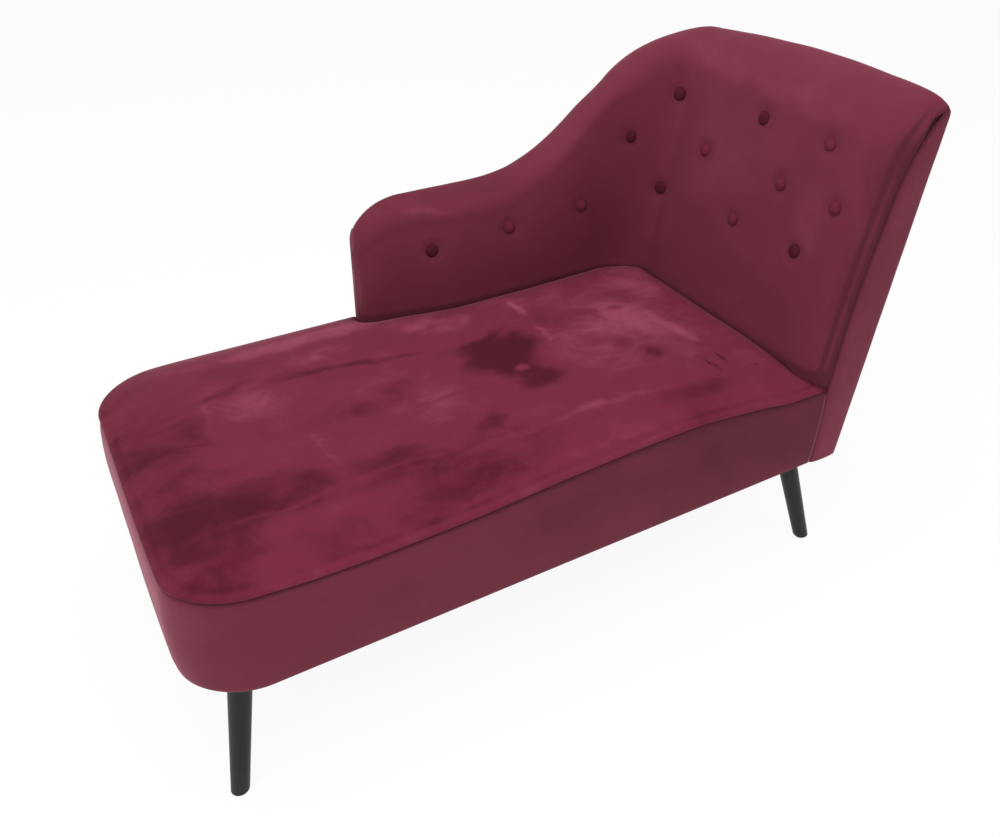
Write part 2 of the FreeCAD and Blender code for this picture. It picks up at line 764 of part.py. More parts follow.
cleat_in = base_depth - frame_inside - rail_thickness
cleat_low = rail_top - cleat_height
bored("rear_cleat", box(foot_radius, rear_end, cleat_in, base_depth - frame_inside, cleat_low, rail_top))
bored("head_cleat", raked_board(frame_inside, rail_thickness, post_end, back_end, cleat_low,
                                rail_top - tilt_rise))
for i, x in enumerate(cross_x):
    bored("cross_rail_%d" % (i + 1), box(x - rail_thickness / 2, x + rail_thickness / 2, frame_inside, cleat_in,
                                         rail_top - cross_rail_height, rail_top))

block_top = rail_bottom + leg_block_height
block_room = plan_prism(frame_inside + fit_gap / 2, rail_bottom, block_top)
near, far = frame_inside, base_depth - frame_inside
head_end = raked_x(rail_bottom, inside)
for name, (x, y, sx, sy) in leg_places.items():
    x0 = near if sx < 0 else head_end - leg_block_size
    y0 = near if sy < 0 else far - leg_block_size
    block = box(x0, x0 + leg_block_size, y0, y0 + leg_block_size, rail_bottom, block_top)
    bored("leg_block_" + name, block.common(block_room))

# Seat: straps both ways, hessian, crowned foam, velvet cover and the welt in its seam
strap_low = rail_top + strap_clear
strap_head = raked_x(rail_top, frame_inside) - strap_end
strap_room = plan_prism(frame_depth + strap_end, rail_bottom, foam_underside)
straps = []
long_pitch = (cleat_in - frame_inside) / seat_strap_count
for i in range(seat_strap_count):
    y = frame_inside + long_pitch * (i + 0.5)
    strap = box(frame_depth + strap_end, strap_head, y - strap_width / 2, y + strap_width / 2,
                strap_low, strap_low + strap_thickness)
    straps.append(strap.common(strap_room))
save("seat_webbing_long", *straps)
crossing = strap_low + strap_thickness + strap_clear
straps = []
cross_pitch = (rear_post_in - foot_radius) / cross_strap_count
for i in range(cross_strap_count):
    x = foot_radius + cross_pitch * (i + 0.5)
    straps.append(box(x - strap_width / 2, x + strap_width / 2, frame_depth + strap_end,
                      base_depth - foam_depth, crossing, crossing + strap_thickness))
save("seat_webbing_cross", *straps)
hessian_low = crossing + strap_thickness + strap_clear
hessian = plan_prism(3 * frame_depth, hessian_low, hessian_low + hessian_thickness)
hessian = hessian.common(box(0, strap_head, 0, base_depth - foam_depth, 0, foam_underside))
save("seat_hessian", hessian)

wall = keep_out(fit_gap)
seat_foam = crown(2 * welt_radius - welt_proud + fit_gap, skin, foam_underside)
save("seat_foam", seat_foam.cut(wall))
cloth_low = seam_height + welt_radius + fit_gap / 2
seat_cover = crown(0.0, 0.0, cloth_low).cut(crown(cover_thickness, cover_thickness, seam_height))
save("seat_cover", seat_cover.cut(wall))
path = welt_path()
ring_start = V(base_length, welt_radius - welt_proud, seam_height)
round_wire = Part.Wire(Part.makeCircle(welt_radius, ring_start, V(-1, 0, 0)))
welt = path.makePipeShell([round_wire], True, False)
save("seat_welt", welt.cut(wall))

# Skirt, its wadding, and the outer covers of the arm and back
seam_low = base_length - panel_foot
skirt_top = seam_height - welt_radius - fit_gap / 2
seam_high = raked_x(skirt_top, 0) - panel_width
beyond = [V(seam_low - fit_gap, 0, skirt_bottom), V(outer_top, 0, skirt_bottom),
          V(outer_top, 0, skirt_top), V(seam_high - fit_gap, 0, skirt_top)]
head_side = Part.Face(Part.makePolygon(beyond + beyond[:1])).extrude(V(0, base_depth, 0))
cover_from = arm_start + nose_outer_radius
rear_side = box(cover_from - fit_gap / 2, outer_top, base_depth / 2, base_depth, 0, seam_height)
skirt = plan_prism(0.0, skirt_bottom, skirt_top).cut(plan_prism(cover_thickness, skirt_bottom, skirt_top))
save("skirt_cover", skirt.cut(head_side).cut(rear_side))
wadding_inside = wadding_depth + wadding_thickness
wadding = plan_prism(wadding_depth, rail_bottom, rail_top).cut(plan_prism(wadding_inside, rail_bottom, rail_top))
beyond_arm = box(corner_x, outer_top, base_depth / 2, base_depth, 0, seam_height)
save("skirt_wadding", wadding.cut(head_side).cut(beyond_arm))
save("outer_arm_cover", arm_board_shape(cover_from, rear_end, outer_roll, skirt_bottom, 0.0, cover_thickness))
save("outer_back_cover", corner_layer(0.0, cover_thickness, skirt_bottom, outer_roll, skin))
wadding_drop = outer_roll + strap_end
save("arm_wadding", arm_board_shape(post_in, rear_end, wadding_drop, rail_top + lip_gap, wadding_depth,
                                    wadding_thickness))
save("back_wadding", corner_layer(wadding_depth, wadding_inside, rail_bottom, wadding_drop, frame_depth))

# Side panel closing the back's front edge, narrowing to a point at the top corner
edge_cut = back_station(0.0, 0.0)
start, rolled, tuck = padded_edges(edge_cut, 0.0, skirt_top)
low_in = V(seam_low, 0, skirt_bottom)
low_out = edge_cut.at(0.0, skirt_bottom)
high_out = edge_cut.at(0.0, edge_cut.top - edge_cut.crest)
panel = Part.Wire(rolled + [line(tuck, low_in), line(low_in, low_out), line(low_out, high_out),
                            line(high_out, start)])
save("back_side_panel", Part.Face(panel).extrude(V(0, cover_thickness, 0)))

# Dust cover under the frame, with an opening round each plate
dust_high = rail_bottom - strap_clear
dust = plan_prism(2 * frame_depth, dust_high - dust_cover_thickness, dust_high)
opening = plate_size / 2 + fit_gap
for x, y, sx, sy in leg_places.values():
    dust = dust.cut(box(x - opening, x + opening, y - opening, y + opening, 0, rail_top))
save("dust_cover", dust)
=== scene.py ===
import bpy, json, math
import numpy as np
from mathutils import Matrix, Vector, noise


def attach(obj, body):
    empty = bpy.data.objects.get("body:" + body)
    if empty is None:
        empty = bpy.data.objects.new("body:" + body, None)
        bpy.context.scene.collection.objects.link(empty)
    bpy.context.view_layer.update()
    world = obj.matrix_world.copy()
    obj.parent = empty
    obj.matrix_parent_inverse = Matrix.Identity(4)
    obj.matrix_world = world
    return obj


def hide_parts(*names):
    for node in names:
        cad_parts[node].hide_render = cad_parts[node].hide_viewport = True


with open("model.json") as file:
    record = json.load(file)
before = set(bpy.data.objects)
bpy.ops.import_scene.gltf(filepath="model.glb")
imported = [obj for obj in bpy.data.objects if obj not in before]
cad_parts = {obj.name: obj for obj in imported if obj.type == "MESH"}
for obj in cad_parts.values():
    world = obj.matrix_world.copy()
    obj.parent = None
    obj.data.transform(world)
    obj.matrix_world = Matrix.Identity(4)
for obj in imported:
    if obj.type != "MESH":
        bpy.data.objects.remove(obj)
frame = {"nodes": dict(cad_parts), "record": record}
bpy.ops.object.select_all(action="DESELECT")
noise.seed_set(5)  # noise_vector gives the same marks each run
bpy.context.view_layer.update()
print("frame loaded:", len(frame["nodes"]), "nodes")

# sizes shared by the pieces, in metres: x from the foot end, y from the open side, z from the floor
middle = Vector((0.63315, 0.3185, 0.0))
base = {"length": 1.155, "depth": 0.640, "bottom": 0.195, "seam": 0.353,
        "footRadius": 0.100, "rearRadius": 0.105, "footBow": 0.0100, "cornerRadius": 0.100, "rake": 0.18}
cornerX = base["length"] - base["cornerRadius"]
cornerY = base["depth"] - base["cornerRadius"]


def ease(t):
    t = min(1.0, max(0.0, t))
    return t * t * (3 - 2 * t)


def rounded(t):  # quarter of an ellipse, 0 at the very end
    t = min(1.0, max(0.0, t))
    return math.sqrt(1 - (1 - t) ** 2)


def makeObject(name, points, faces, napAndPaintedLight=None):  # the last argument: how far the pile is brushed light or dark, with painted light and shade added
    mesh = bpy.data.meshes.new(name)
    mesh.from_pydata([tuple(Vector(p) - middle) for p in points], [], faces)
    if napAndPaintedLight is not None:
        mesh.attributes.new("napAndPaintedLight", "FLOAT", "POINT").data.foreach_set("value", np.array(napAndPaintedLight, dtype=np.float32))
    piece = bpy.data.objects.new(name, mesh)
    bpy.context.collection.objects.link(piece)
    for f in mesh.polygons:
        f.use_smooth = True
    return piece


def pick(piece):
    bpy.ops.object.select_all(action="DESELECT")
    piece.select_set(True)
    bpy.context.view_layer.objects.active = piece


def facesOut(piece):
    pick(piece)
    bpy.ops.object.mode_set(mode="EDIT")
    bpy.ops.mesh.select_all(action="SELECT")
    bpy.ops.mesh.remove_doubles(threshold=0.00002)
    bpy.ops.mesh.normals_make_consistent(inside=False)
    bpy.ops.object.mode_set(mode="OBJECT")
    bpy.ops.object.select_all(action="DESELECT")


def applyModifiers(piece):
    pick(piece)
    for m in list(piece.modifiers):
        bpy.ops.object.modifier_apply(modifier=m.name)
    bpy.ops.object.select_all(action="DESELECT")


def ripple(p, scale, seed):
    return noise.noise(Vector(p) / scale + Vector((seed, 3.1 * seed, 0)))


# marks on the pile, some brushed and some painted light and shade, each an ellipse whose edge noise pulls about at
# two scales
markShape = {"wander": 0.014, "broad": 0.055, "fine": 0.017, "fineShare": 0.28, "fade": 1.25, "hard": 0.7}


def strokes(u, v, marks, wander=markShape["wander"]):
    shift = [noise.noise_vector(Vector((a, b, 0.7)) / markShape["broad"]) * wander for a, b in zip(u, v)]
    fine = [noise.noise_vector(Vector((a, b, 2.7)) / markShape["fine"]) * wander * markShape["fineShare"]
            for a, b in zip(u, v)]
    u = np.array(u) + np.array([w.x + n.x for w, n in zip(shift, fine)])
    v = np.array(v) + np.array([w.y + n.y for w, n in zip(shift, fine)])
    total = np.zeros(len(u))
    for mu, mv, ru, rv, turn, strength, crisp in marks:
        c, n = math.cos(math.radians(turn)), math.sin(math.radians(turn))
        du, dv = u - mu, v - mv
        reach = np.hypot((du * c + dv * n) / ru, (dv * c - du * n) / rv)
        t = np.clip((markShape["fade"] - reach) / (markShape["fade"] * (1 - markShape["hard"] * crisp)), 0, 1)
        total += strength * t * t * (3 - 2 * t)
    return total


# padded wall of the arm and back: upright cuts from the arm's end to the back's open edge
wall = {"armStart": 0.490, "armHeight": 0.595, "crest": 0.840, "arch": 0.014, "sweep": 0.500,
        "skew": 1.45, "hollow": 0.011, "hollowReach": 0.075, "noseDrop": 0.080, "noseLength": 0.100,
        "innerNose": 0.026, "outerNose": 0.010, "frontThick": 0.062, "armThick": 0.095,
        "backThick": 0.115, "innerCorner": 0.065, "outerRoll": 0.024, "armRoll": 0.055,
        "backRoll": 0.090, "panelWidth": 0.080, "panelTop": 0.008, "panelRoll": 0.160,
        "panelDrop": 0.020, "edgeRoll": 0.060, "bulge": 0.006, "skin": 0.0022,
        "foamBack": 0.0346, "lip": 0.012, "underside": 0.3375, "tuck": 0.394, "step": 0.0048,
        "bead": 0.0125, "groove": 0.0020, "sweepEnd": 80, "armFan": 0.255, "backFan": 0.240,
        "thicker": 0.2, "shoulder": 0.88, "wholeEnd": 0.0115, "seatLevel": 0.375}
wallRows = {"crest": 8, "roll": 24, "face": 56, "foot": 6}  # rows of one upright cut, from the crest down
shownRows = 1 + wallRows["crest"] + wallRows["roll"] + wallRows["face"]
faceRow = 60  # a row about halfway down the face


def topOfArm(x):
    end = cornerX + base["cornerRadius"] * math.radians(wall["sweepEnd"])
    t = min(1.0, max(0.0, (x - end + wall["sweep"]) / wall["sweep"]))
    hollow = wall["hollow"] * ease(1 - abs(x - cornerX) / wall["hollowReach"])
    return wall["armHeight"] + (wall["crest"] - wall["armHeight"]) * ease(t ** wall["skew"]) - hollow


def crestLine(y):
    return wall["crest"] + wall["arch"] * math.sin(math.pi * (cornerY - y) / cornerY)


class Cut:  # an upright cut through the wall: outer foot, way inwards, lean and height
    def __init__(self, outer, inner, normal, lean, top, roll, crest=None):
        self.outer = Vector((outer[0], outer[1], 0))
        self.run = Vector((inner[0], inner[1], 0)) - self.outer
        self.thick = self.run.length
        self.run.normalize()
        self.square = -(self.run.x * normal[0] + self.run.y * normal[1])
        self.lean, self.top, self.roll = lean, top, roll
        self.crest = crest or wall["outerRoll"]
        self.shoulder = self.thick * wall["shoulder"]

    def at(self, inwards, z):
        shift = self.lean * base["rake"] * (z - base["bottom"])
        return self.outer + self.run * inwards + Vector((shift, 0, z))


def armCut(x):
    start = wall["armStart"]
    share = max(0.0, x - cornerX + wall["armFan"]) / wall["armFan"]
    innerX = x + share * (base["length"] - wall["backThick"] - wall["innerCorner"] - cornerX)
    thick = wall["frontThick"] + (wall["armThick"] - wall["frontThick"]) * ease((x - start) / wall["thicker"])
    innerOff = wall["innerNose"] * (1 - rounded((x - start) / wall["innerNose"]))
    outerOff = wall["outerNose"] * (1 - rounded((x - start) / wall["outerNose"]))
    top = topOfArm(x) - wall["noseDrop"] * (1 - rounded((x - start) / wall["noseLength"]))
    inner = (innerX, base["depth"] - thick + innerOff)
    return Cut((x, base["depth"] - outerOff), inner, (0, 1), 0.0, top, wall["armRoll"])


def cornerCut(angle):
    a, share = math.radians(angle), angle / 90
    s, c, r = math.sin(a), math.cos(a), wall["innerCorner"]
    inner = (base["length"] - wall["backThick"] - r + r * s, base["depth"] - wall["armThick"] - r + r * c)
    outer = (cornerX + base["cornerRadius"] * s, cornerY + base["cornerRadius"] * c)
    roll = wall["armRoll"] + (wall["backRoll"] - wall["armRoll"]) * ease(share)
    return Cut(outer, inner, (s, c), ease(share), topOfArm(cornerX + base["cornerRadius"] * a), roll)


def backCut(y):
    edge = rounded((y - wall["skin"]) / wall["edgeRoll"])
    share = max(0.0, y - cornerY + wall["backFan"]) / wall["backFan"]
    innerY = y + share * (base["depth"] - wall["armThick"] - wall["innerCorner"] - cornerY)
    thick = wall["panelWidth"] + (wall["backThick"] - wall["panelWidth"]) * edge
    roll = wall["panelRoll"] + (wall["backRoll"] - wall["panelRoll"]) * edge
    crest = wall["panelTop"] + (wall["outerRoll"] - wall["panelTop"]) * edge
    top = crestLine(y) - wall["panelDrop"] * (1 - edge)
    return Cut((base["length"], y), (base["length"] - thick, innerY), (1, 0), 1.0, top, roll, crest)


def wallCuts():
    step, start = wall["step"], wall["armStart"]
    nose = [start + wall["noseLength"] * (1 - math.cos(math.radians(3.5 * i))) for i in range(26)]
    flat = int((cornerX - nose[-1]) / step)
    arm = nose + [nose[-1] + (cornerX - nose[-1]) * i / flat for i in range(1, flat + 1)]
    corner = [90 * i / 30 for i in range(1, 30)]
    last = wall["skin"] + wall["edgeRoll"]
    count = int((cornerY - last) / step)
    back = [cornerY + (last - cornerY) * i / count for i in range(count + 1)]
    back += [wall["skin"] + wall["edgeRoll"] * (1 - math.cos(math.radians(90 - 5 * i))) for i in range(1, 19)]
    return [armCut(x) for x in arm] + [cornerCut(a) for a in corner] + [backCut(y) for y in back]


def faceIn(cut, z):  # how far in the padded face lies at height z
    t = (z - wall["tuck"]) / (cut.top - cut.roll - wall["tuck"])
    return cut.thick + (cut.shoulder - cut.thick) * t + wall["bulge"] * 4 * t * (1 - t)


def wallProfile(cut, whole=False):  # closed outline of a cut; whole leaves no room behind the foam
    first = wall["skin"] / cut.square
    crestIn, low = first + cut.crest, wall["underside"]
    points = []
    for i in range(wallRows["crest"] + 1):
        a = math.radians(90 * i / wallRows["crest"])
        points.append((crestIn - cut.crest * math.cos(a), cut.top - cut.crest * (1 - math.sin(a))))
    w, h, rolls = cut.shoulder - crestIn, cut.roll, wallRows["roll"]
    for i in range(1, rolls + 1):  # the roll from the crest down to the face
        if h >= w:
            radius = (w * w + h * h) / (2 * w)
            turn = math.asin(h / radius) * (1 - i / rolls)
            points.append((cut.shoulder - radius * (1 - math.cos(turn)), cut.top - h + radius * math.sin(turn)))
        else:
            radius = (w * w + h * h) / (2 * h)
            turn = math.asin(w / radius) * i / rolls
            points.append((crestIn + radius * math.sin(turn), cut.top - radius * (1 - math.cos(turn))))
    top = cut.top - cut.roll
    for i in range(1, wallRows["face"] + 1):
        z = top + (wall["tuck"] - top) * i / wallRows["face"]
        points.append((faceIn(cut, z), z))
    keep = len(points)
    for i in range(1, wallRows["foot"] + 1):
        points.append((cut.thick, wall["tuck"] + (low - wall["tuck"]) * i / wallRows["foot"]))
    for n in range(4):  # evens out the kinks between the parts
        points[1:keep - 1] = [((a[0] + 2 * b[0] + c[0]) / 4, (a[1] + 2 * b[1] + c[1]) / 4)
                              for a, b, c in zip(points, points[1:], points[2:keep])]
    back = first + 0.0001 if whole else min(wall["foamBack"] / cut.square, 0.55 * cut.thick)
    lipIn = first + 0.00005 if whole else min(0.010 / cut.square, 0.3 * cut.thick)
    points += [(back, low), (back, (low + cut.top) / 2), (back, cut.top - wall["lip"]),
               (lipIn, cut.top - wall["lip"]), (first, cut.top - cut.crest - 0.0004)]
    return [cut.at(i, z) for i, z in points]


# covered buttons: rows on the back and along the arm
tufts = {"radius": 0.0115, "thick": 0.0040, "sides": 36, "dimple": 0.0062, "reach": 0.030, "dimpleShade": 0.34,
         "dome": [(0.0008, 0.0008), (0.0016, 0.0009), (0.0030, 0.0008), (0.0030, 0.0003)],  # insets and lifts
         "raised": 0.0006, "darkTone": -0.62, "plainTone": 0.08, "upper": 0.742, "middle": 0.652, "lower": 0.558,
         "outer": [0.130, 0.288], "inner": [0.078, 0.204, 0.435], "cornerAngles": [73, 36, 78],
         "armRow": 0.496, "armRise": 0.014, "arm": [0.625, 0.787, 1.009],
         "armDark": [1, 0, 0], "backDark": [0, 1, 1, 0, 0, 0, 0, 1, 1, 1]}


def tuftSeat(cut, z):  # place on the face at height z, and the way that it faces
    low, high = (cut.at(faceIn(cut, h), h) for h in (z - 0.02, z + 0.02))
    facing = (high - low).cross(cut.run.cross(Vector((0, 0, 1))))
    if facing.dot(cut.run) < 0:
        facing = -facing
    return cut.at(faceIn(cut, z), z), facing.normalized()


armTufts = [tuftSeat(armCut(x), tufts["armRow"] + tufts["armRise"] * i) for i, x in enumerate(tufts["arm"])]
backTufts = [tuftSeat(backCut(y), z) for y in tufts["outer"] for z in (tufts["upper"], tufts["lower"])]
backTufts += [tuftSeat(backCut(y), tufts["middle"]) for y in tufts["inner"]]
backTufts += [tuftSeat(cornerCut(a), z) for a, z in
              zip(tufts["cornerAngles"], (tufts["upper"] - 0.010, tufts["middle"], tufts["lower"] - 0.008))]


# marks along the face from the arm's end (u) by height (v): u, v, reaches, turn, strength, crispness; the dark marks
# round the inner corner (u 0.56 to 0.66) and the tall dark ones at the open edge (u 1.115 to 1.12) are painted shade
wallMarks = [
    (0.600, 0.785, 0.060, 0.034, -10, -0.28, 0.2), (0.655, 0.770, 0.060, 0.020, 5, -0.14, 0.2),
    (0.085, 0.465, 0.045, 0.050, 0, -0.16, 0.2), (0.135, 0.575, 0.060, 0.012, -6, 0.16, 0.5),
    (0.230, 0.560, 0.120, 0.020, -3, 0.08, 0.2), (0.560, 0.500, 0.110, 0.130, 0, -0.17, 0.1),
    (0.660, 0.412, 0.055, 0.034, 0, -0.20, 0.15), (0.450, 0.640, 0.080, 0.060, 40, 0.08, 0.2),
    (0.720, 0.800, 0.120, 0.024, 0, 0.12, 0.3), (0.930, 0.790, 0.120, 0.030, 0, 0.10, 0.3),
    (0.770, 0.620, 0.100, 0.090, 0, 0.07, 0.2), (1.020, 0.610, 0.035, 0.090, 8, 0.12, 0.4),
    (0.900, 0.470, 0.100, 0.040, 4, -0.13, 0.3), (1.010, 0.450, 0.060, 0.040, 0, -0.12, 0.3),
    (0.930, 0.424, 0.012, 0.010, 0, -0.22, 0.4), (0.350, 0.440, 0.200, 0.040, 0, -0.07, 0.2),
    (1.115, 0.730, 0.034, 0.090, 6, -0.26, 0.5), (1.120, 0.560, 0.020, 0.140, 3, -0.14, 0.4)]


# painted light and shade: a painted highlight at the arm's end, painted shade at the open edge, on the arm's top and
# in the crease by the seat, a little lighter higher up
def wallLightAndShade(run, full, height):  # light at the arm's end, dark at the open edge and by the seat
    tone = 0.20 * np.clip(1 - run / 0.020, 0, 1) - 0.30 * np.clip(1 - (full - run) / 0.045, 0, 1) ** 1.5
    tone = tone - 0.22 * np.clip((0.40 - run) / 0.10, 0, 1) * np.clip((height - 0.572) / 0.012, 0, 1)
    return tone + 0.04 * np.clip((height - 0.62) / 0.15, 0, 1) - 0.45 * np.clip((0.388 - height) / 0.012, 0, 1)


def makeWall():
    cuts = wallCuts()
    rings = [wallProfile(c, c.outer.y > cornerY and c.outer.x < wall["armStart"] + wall["wholeEnd"]) for c in cuts]
    points = np.array([[tuple(p) for p in ring] for ring in rings])
    count, size = points.shape[:2]
    run = np.concatenate([[0], np.cumsum(np.linalg.norm(np.diff(points[:, faceRow, :2], axis=0), axis=1))])
    height = points[:, :, 2].copy()
    napAndPaintedLight = strokes(np.repeat(run, size), height.reshape(-1), wallMarks).reshape(count, size)
    napAndPaintedLight += wallLightAndShade(run[:, None], run[-1], height)
    across = np.gradient(points, axis=0)
    along = np.gradient(points, axis=1)
    normal = np.cross(along, across)
    normal /= np.linalg.norm(normal, axis=2, keepdims=True) + 1e-12
    inwards = -1 if normal[10, faceRow, 1] > 0 else 1
    soft = np.ones((count, size))  # the waves fade towards the crest and the two ends
    soft[:, :3] = 0.3
    soft[:, shownRows:] = 0
    soft[:6] *= 0.3
    soft[-8:] *= 0.3
    for i in range(count):
        for j in range(shownRows):
            p = points[i, j]
            wave = 0.0011 * ripple(p, 0.11, 1) + 0.0005 * ripple(p, 0.04, 2)
            points[i, j] += normal[i, j] * wave * soft[i, j] * inwards
    for i, cut in enumerate(cuts):  # the cloth rolls into a bead where it meets the side panel
        if cut.outer.y < 0.04:
            groove = math.exp(-((cut.outer.y - wall["bead"]) / 0.0030) ** 2)
            points[i, wallRows["crest"] + 1:shownRows, :2] -= np.array(cut.run[:2]) * groove * wall["groove"]
            # painted shade in the groove and along the edge by the side panel, fading near the crest
            line = groove + 0.8 * math.exp(-((cut.outer.y - wall["skin"]) / 0.0025) ** 2)
            napAndPaintedLight[i] -= 0.42 * line * np.clip((0.83 - height[i]) / 0.03, 0.2, 1)
    for place, facing in armTufts + backTufts:
        reach = np.linalg.norm(points - np.array(place), axis=2) / tufts["reach"]
        near = np.clip(1 - reach, 0, 1)
        dip = tufts["dimple"] * (0.55 * np.clip(1 - reach ** 2, 0, 1) ** 2 + 0.45 * near ** 2.2)
        points -= np.array(facing) * dip[:, :, None]
        # painted shade in each button's dimple, heavier on the side below the button
        below = (np.array(place) - points) @ np.array((0.30, 0.25, 1.0)) / 0.014
        dimpleShade = np.clip(1.75 - reach * 1.75, 0, 1) ** 1.5
        napAndPaintedLight -= tufts["dimpleShade"] * dimpleShade * np.clip(0.55 + 0.45 * below, 0.15, 1)
    end = points[0]  # the arm's end is closed by rings that puff out a little
    low, high = end[:, 2].min(), end[:, 2].max()
    half = 0.5 * (end[:, 1].max() - end[:, 1].min())
    level = np.clip(end[:, 2], low + half, high - half)
    spine = np.stack([end[:, 0], np.full(size, end[:, 1].min() + half), level], 1)
    rings = [end + (spine - end) * f - np.array((push, 0, 0)) for f, push in
             ((0.96, 0.0022), (0.7, 0.0020), (0.45, 0.0016), (0.22, 0.0010), (0.08, 0.0005))]
    points = np.concatenate([rings, points])
    napAndPaintedLight = np.concatenate([np.repeat(napAndPaintedLight[:1], len(rings), axis=0), napAndPaintedLight])
    count += len(rings)
    faces = []
    for i in range(count - 1):
        for j in range(size):
            k = (j + 1) % size
            faces.append((i * size + j, i * size + k, (i + 1) * size + k, (i + 1) * size + j))
    faces.append(tuple(range(size)))
    faces.append(tuple((count - 1) * size + j for j in range(size)))
    piece = makeObject("wallPad", points.reshape(-1, 3), faces, napAndPaintedLight=napAndPaintedLight.reshape(-1))
    facesOut(piece)
    return piece


wallPad = makeWall()
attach(wallPad, "root")
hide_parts("inner_cover", "arm_foam", "back_foam")
print("wall pad made:", len(wallPad.data.polygons), "faces")

# line where the wall meets the seat
contact = np.array([c.at(c.thick, wall["seatLevel"])[:2] for c in wallCuts()])
contact = np.vstack([[wall["armStart"], base["depth"] + 0.05], contact, [contact[-1][0], -0.05]])


def wallDistance(points):  # distance, below zero inside the wall, and the nearest place on the line
    best = np.full(len(points), 9.0)
    side = np.zeros(len(points))
    nearest = np.zeros((len(points), 2))
    for a, b in zip(contact[:-1], contact[1:]):
        d = b - a
        t = np.clip(((points - a) @ d) / (d @ d + 1e-15), 0, 1)
        foot = a + t[:, None] * d
        gap = np.linalg.norm(points - foot, axis=1)
        closer = gap < best
        best[closer] = gap[closer]
        nearest[closer] = foot[closer]
        side[closer] = (d[0] * (points[:, 1] - a[1]) - d[1] * (points[:, 0] - a[0]))[closer]
    return best * np.where(side > 0, -1, 1), nearest


# seat: crowned pad with a sewn edge that bows up along the front
seat = {"crown": 0.0345, "fall": 0.053, "reach": 0.25, "power": 5.2, "rim": 0.0045, "proud": 0.0016,
        "rearDrop": 0.006, "cornerDrop": 0.006, "tuckDrop": 0.012, "tuckReach": 0.017, "under": 0.3375,
        "innerLift": 0.007, "liftAt": (1.03, 0.53), "liftReach": 0.13, "far": 1.10, "denseTo": 0.09,
        "snug": 0.0040, "hidden": 0.0036, "clear": 0.0008, "hem": 0.0012, "turnIn": 0.0055}
# the seam's height along the front, x and z
seamLine = [(-0.02, 0.359), (0.096, 0.3600), (0.156, 0.3535), (0.254, 0.3510), (0.350, 0.3530), (0.418, 0.3550),
            (0.577, 0.3655), (0.694, 0.3705), (0.819, 0.3730), (0.957, 0.3590), (1.010, 0.3490), (1.12, 0.3460)]
seamX, seamZ = zip(*seamLine)
fineX = np.linspace(-0.02, 1.12, 229)
fineZ = np.convolve(np.pad(np.interp(fineX, seamX, seamZ), 8, mode="edge"), np.hanning(19)[1:-1] / 9.0, "valid")


def seamHeight(x, y):
    front = float(np.interp(x, fineX, fineZ)) - base["seam"]
    share = ease(1 - y / base["depth"])
    corner = seat["cornerDrop"] * ease(1 - x / 0.15) * ease((y - 0.42) / 0.18)
    return base["seam"] + front * share - seat["rearDrop"] * (1 - share) - corner


def footBow(x, y):  # the foot end swells, most towards the open side
    return base["footBow"] * ease((base["depth"] - y) / 0.52) * ease((y + 0.05) / 0.13) * ease(1 - x / 0.17)


def nearRadius(y):
    return base["footRadius"] if y < 0.5 * base["depth"] else base["rearRadius"]


def footStart(y):  # where the foot end's rounded outline begins
    r = nearRadius(y)
    gap = min(y, base["depth"] - y)
    return r - math.sqrt(max(0.0, r * r - (r - gap) ** 2)) if gap < r else 0.0


def edgeDistance(x, y):  # to the foot and sides, with the ridges between them smoothed out
    r = nearRadius(y)
    across = min(y, base["depth"] - y)
    qx, qy = r - x, r - across
    exact = r - (math.hypot(max(qx, 0), max(qy, 0)) + min(max(qx, qy), 0))
    p, deep = seat["power"], seat["reach"]
    level = (max(0, 1 - x / deep) ** p + max(0, 1 - across / deep) ** p) ** (1 / p)
    soft = deep * (1 - level)
    return exact + (soft - exact) * ease(exact / 0.05)
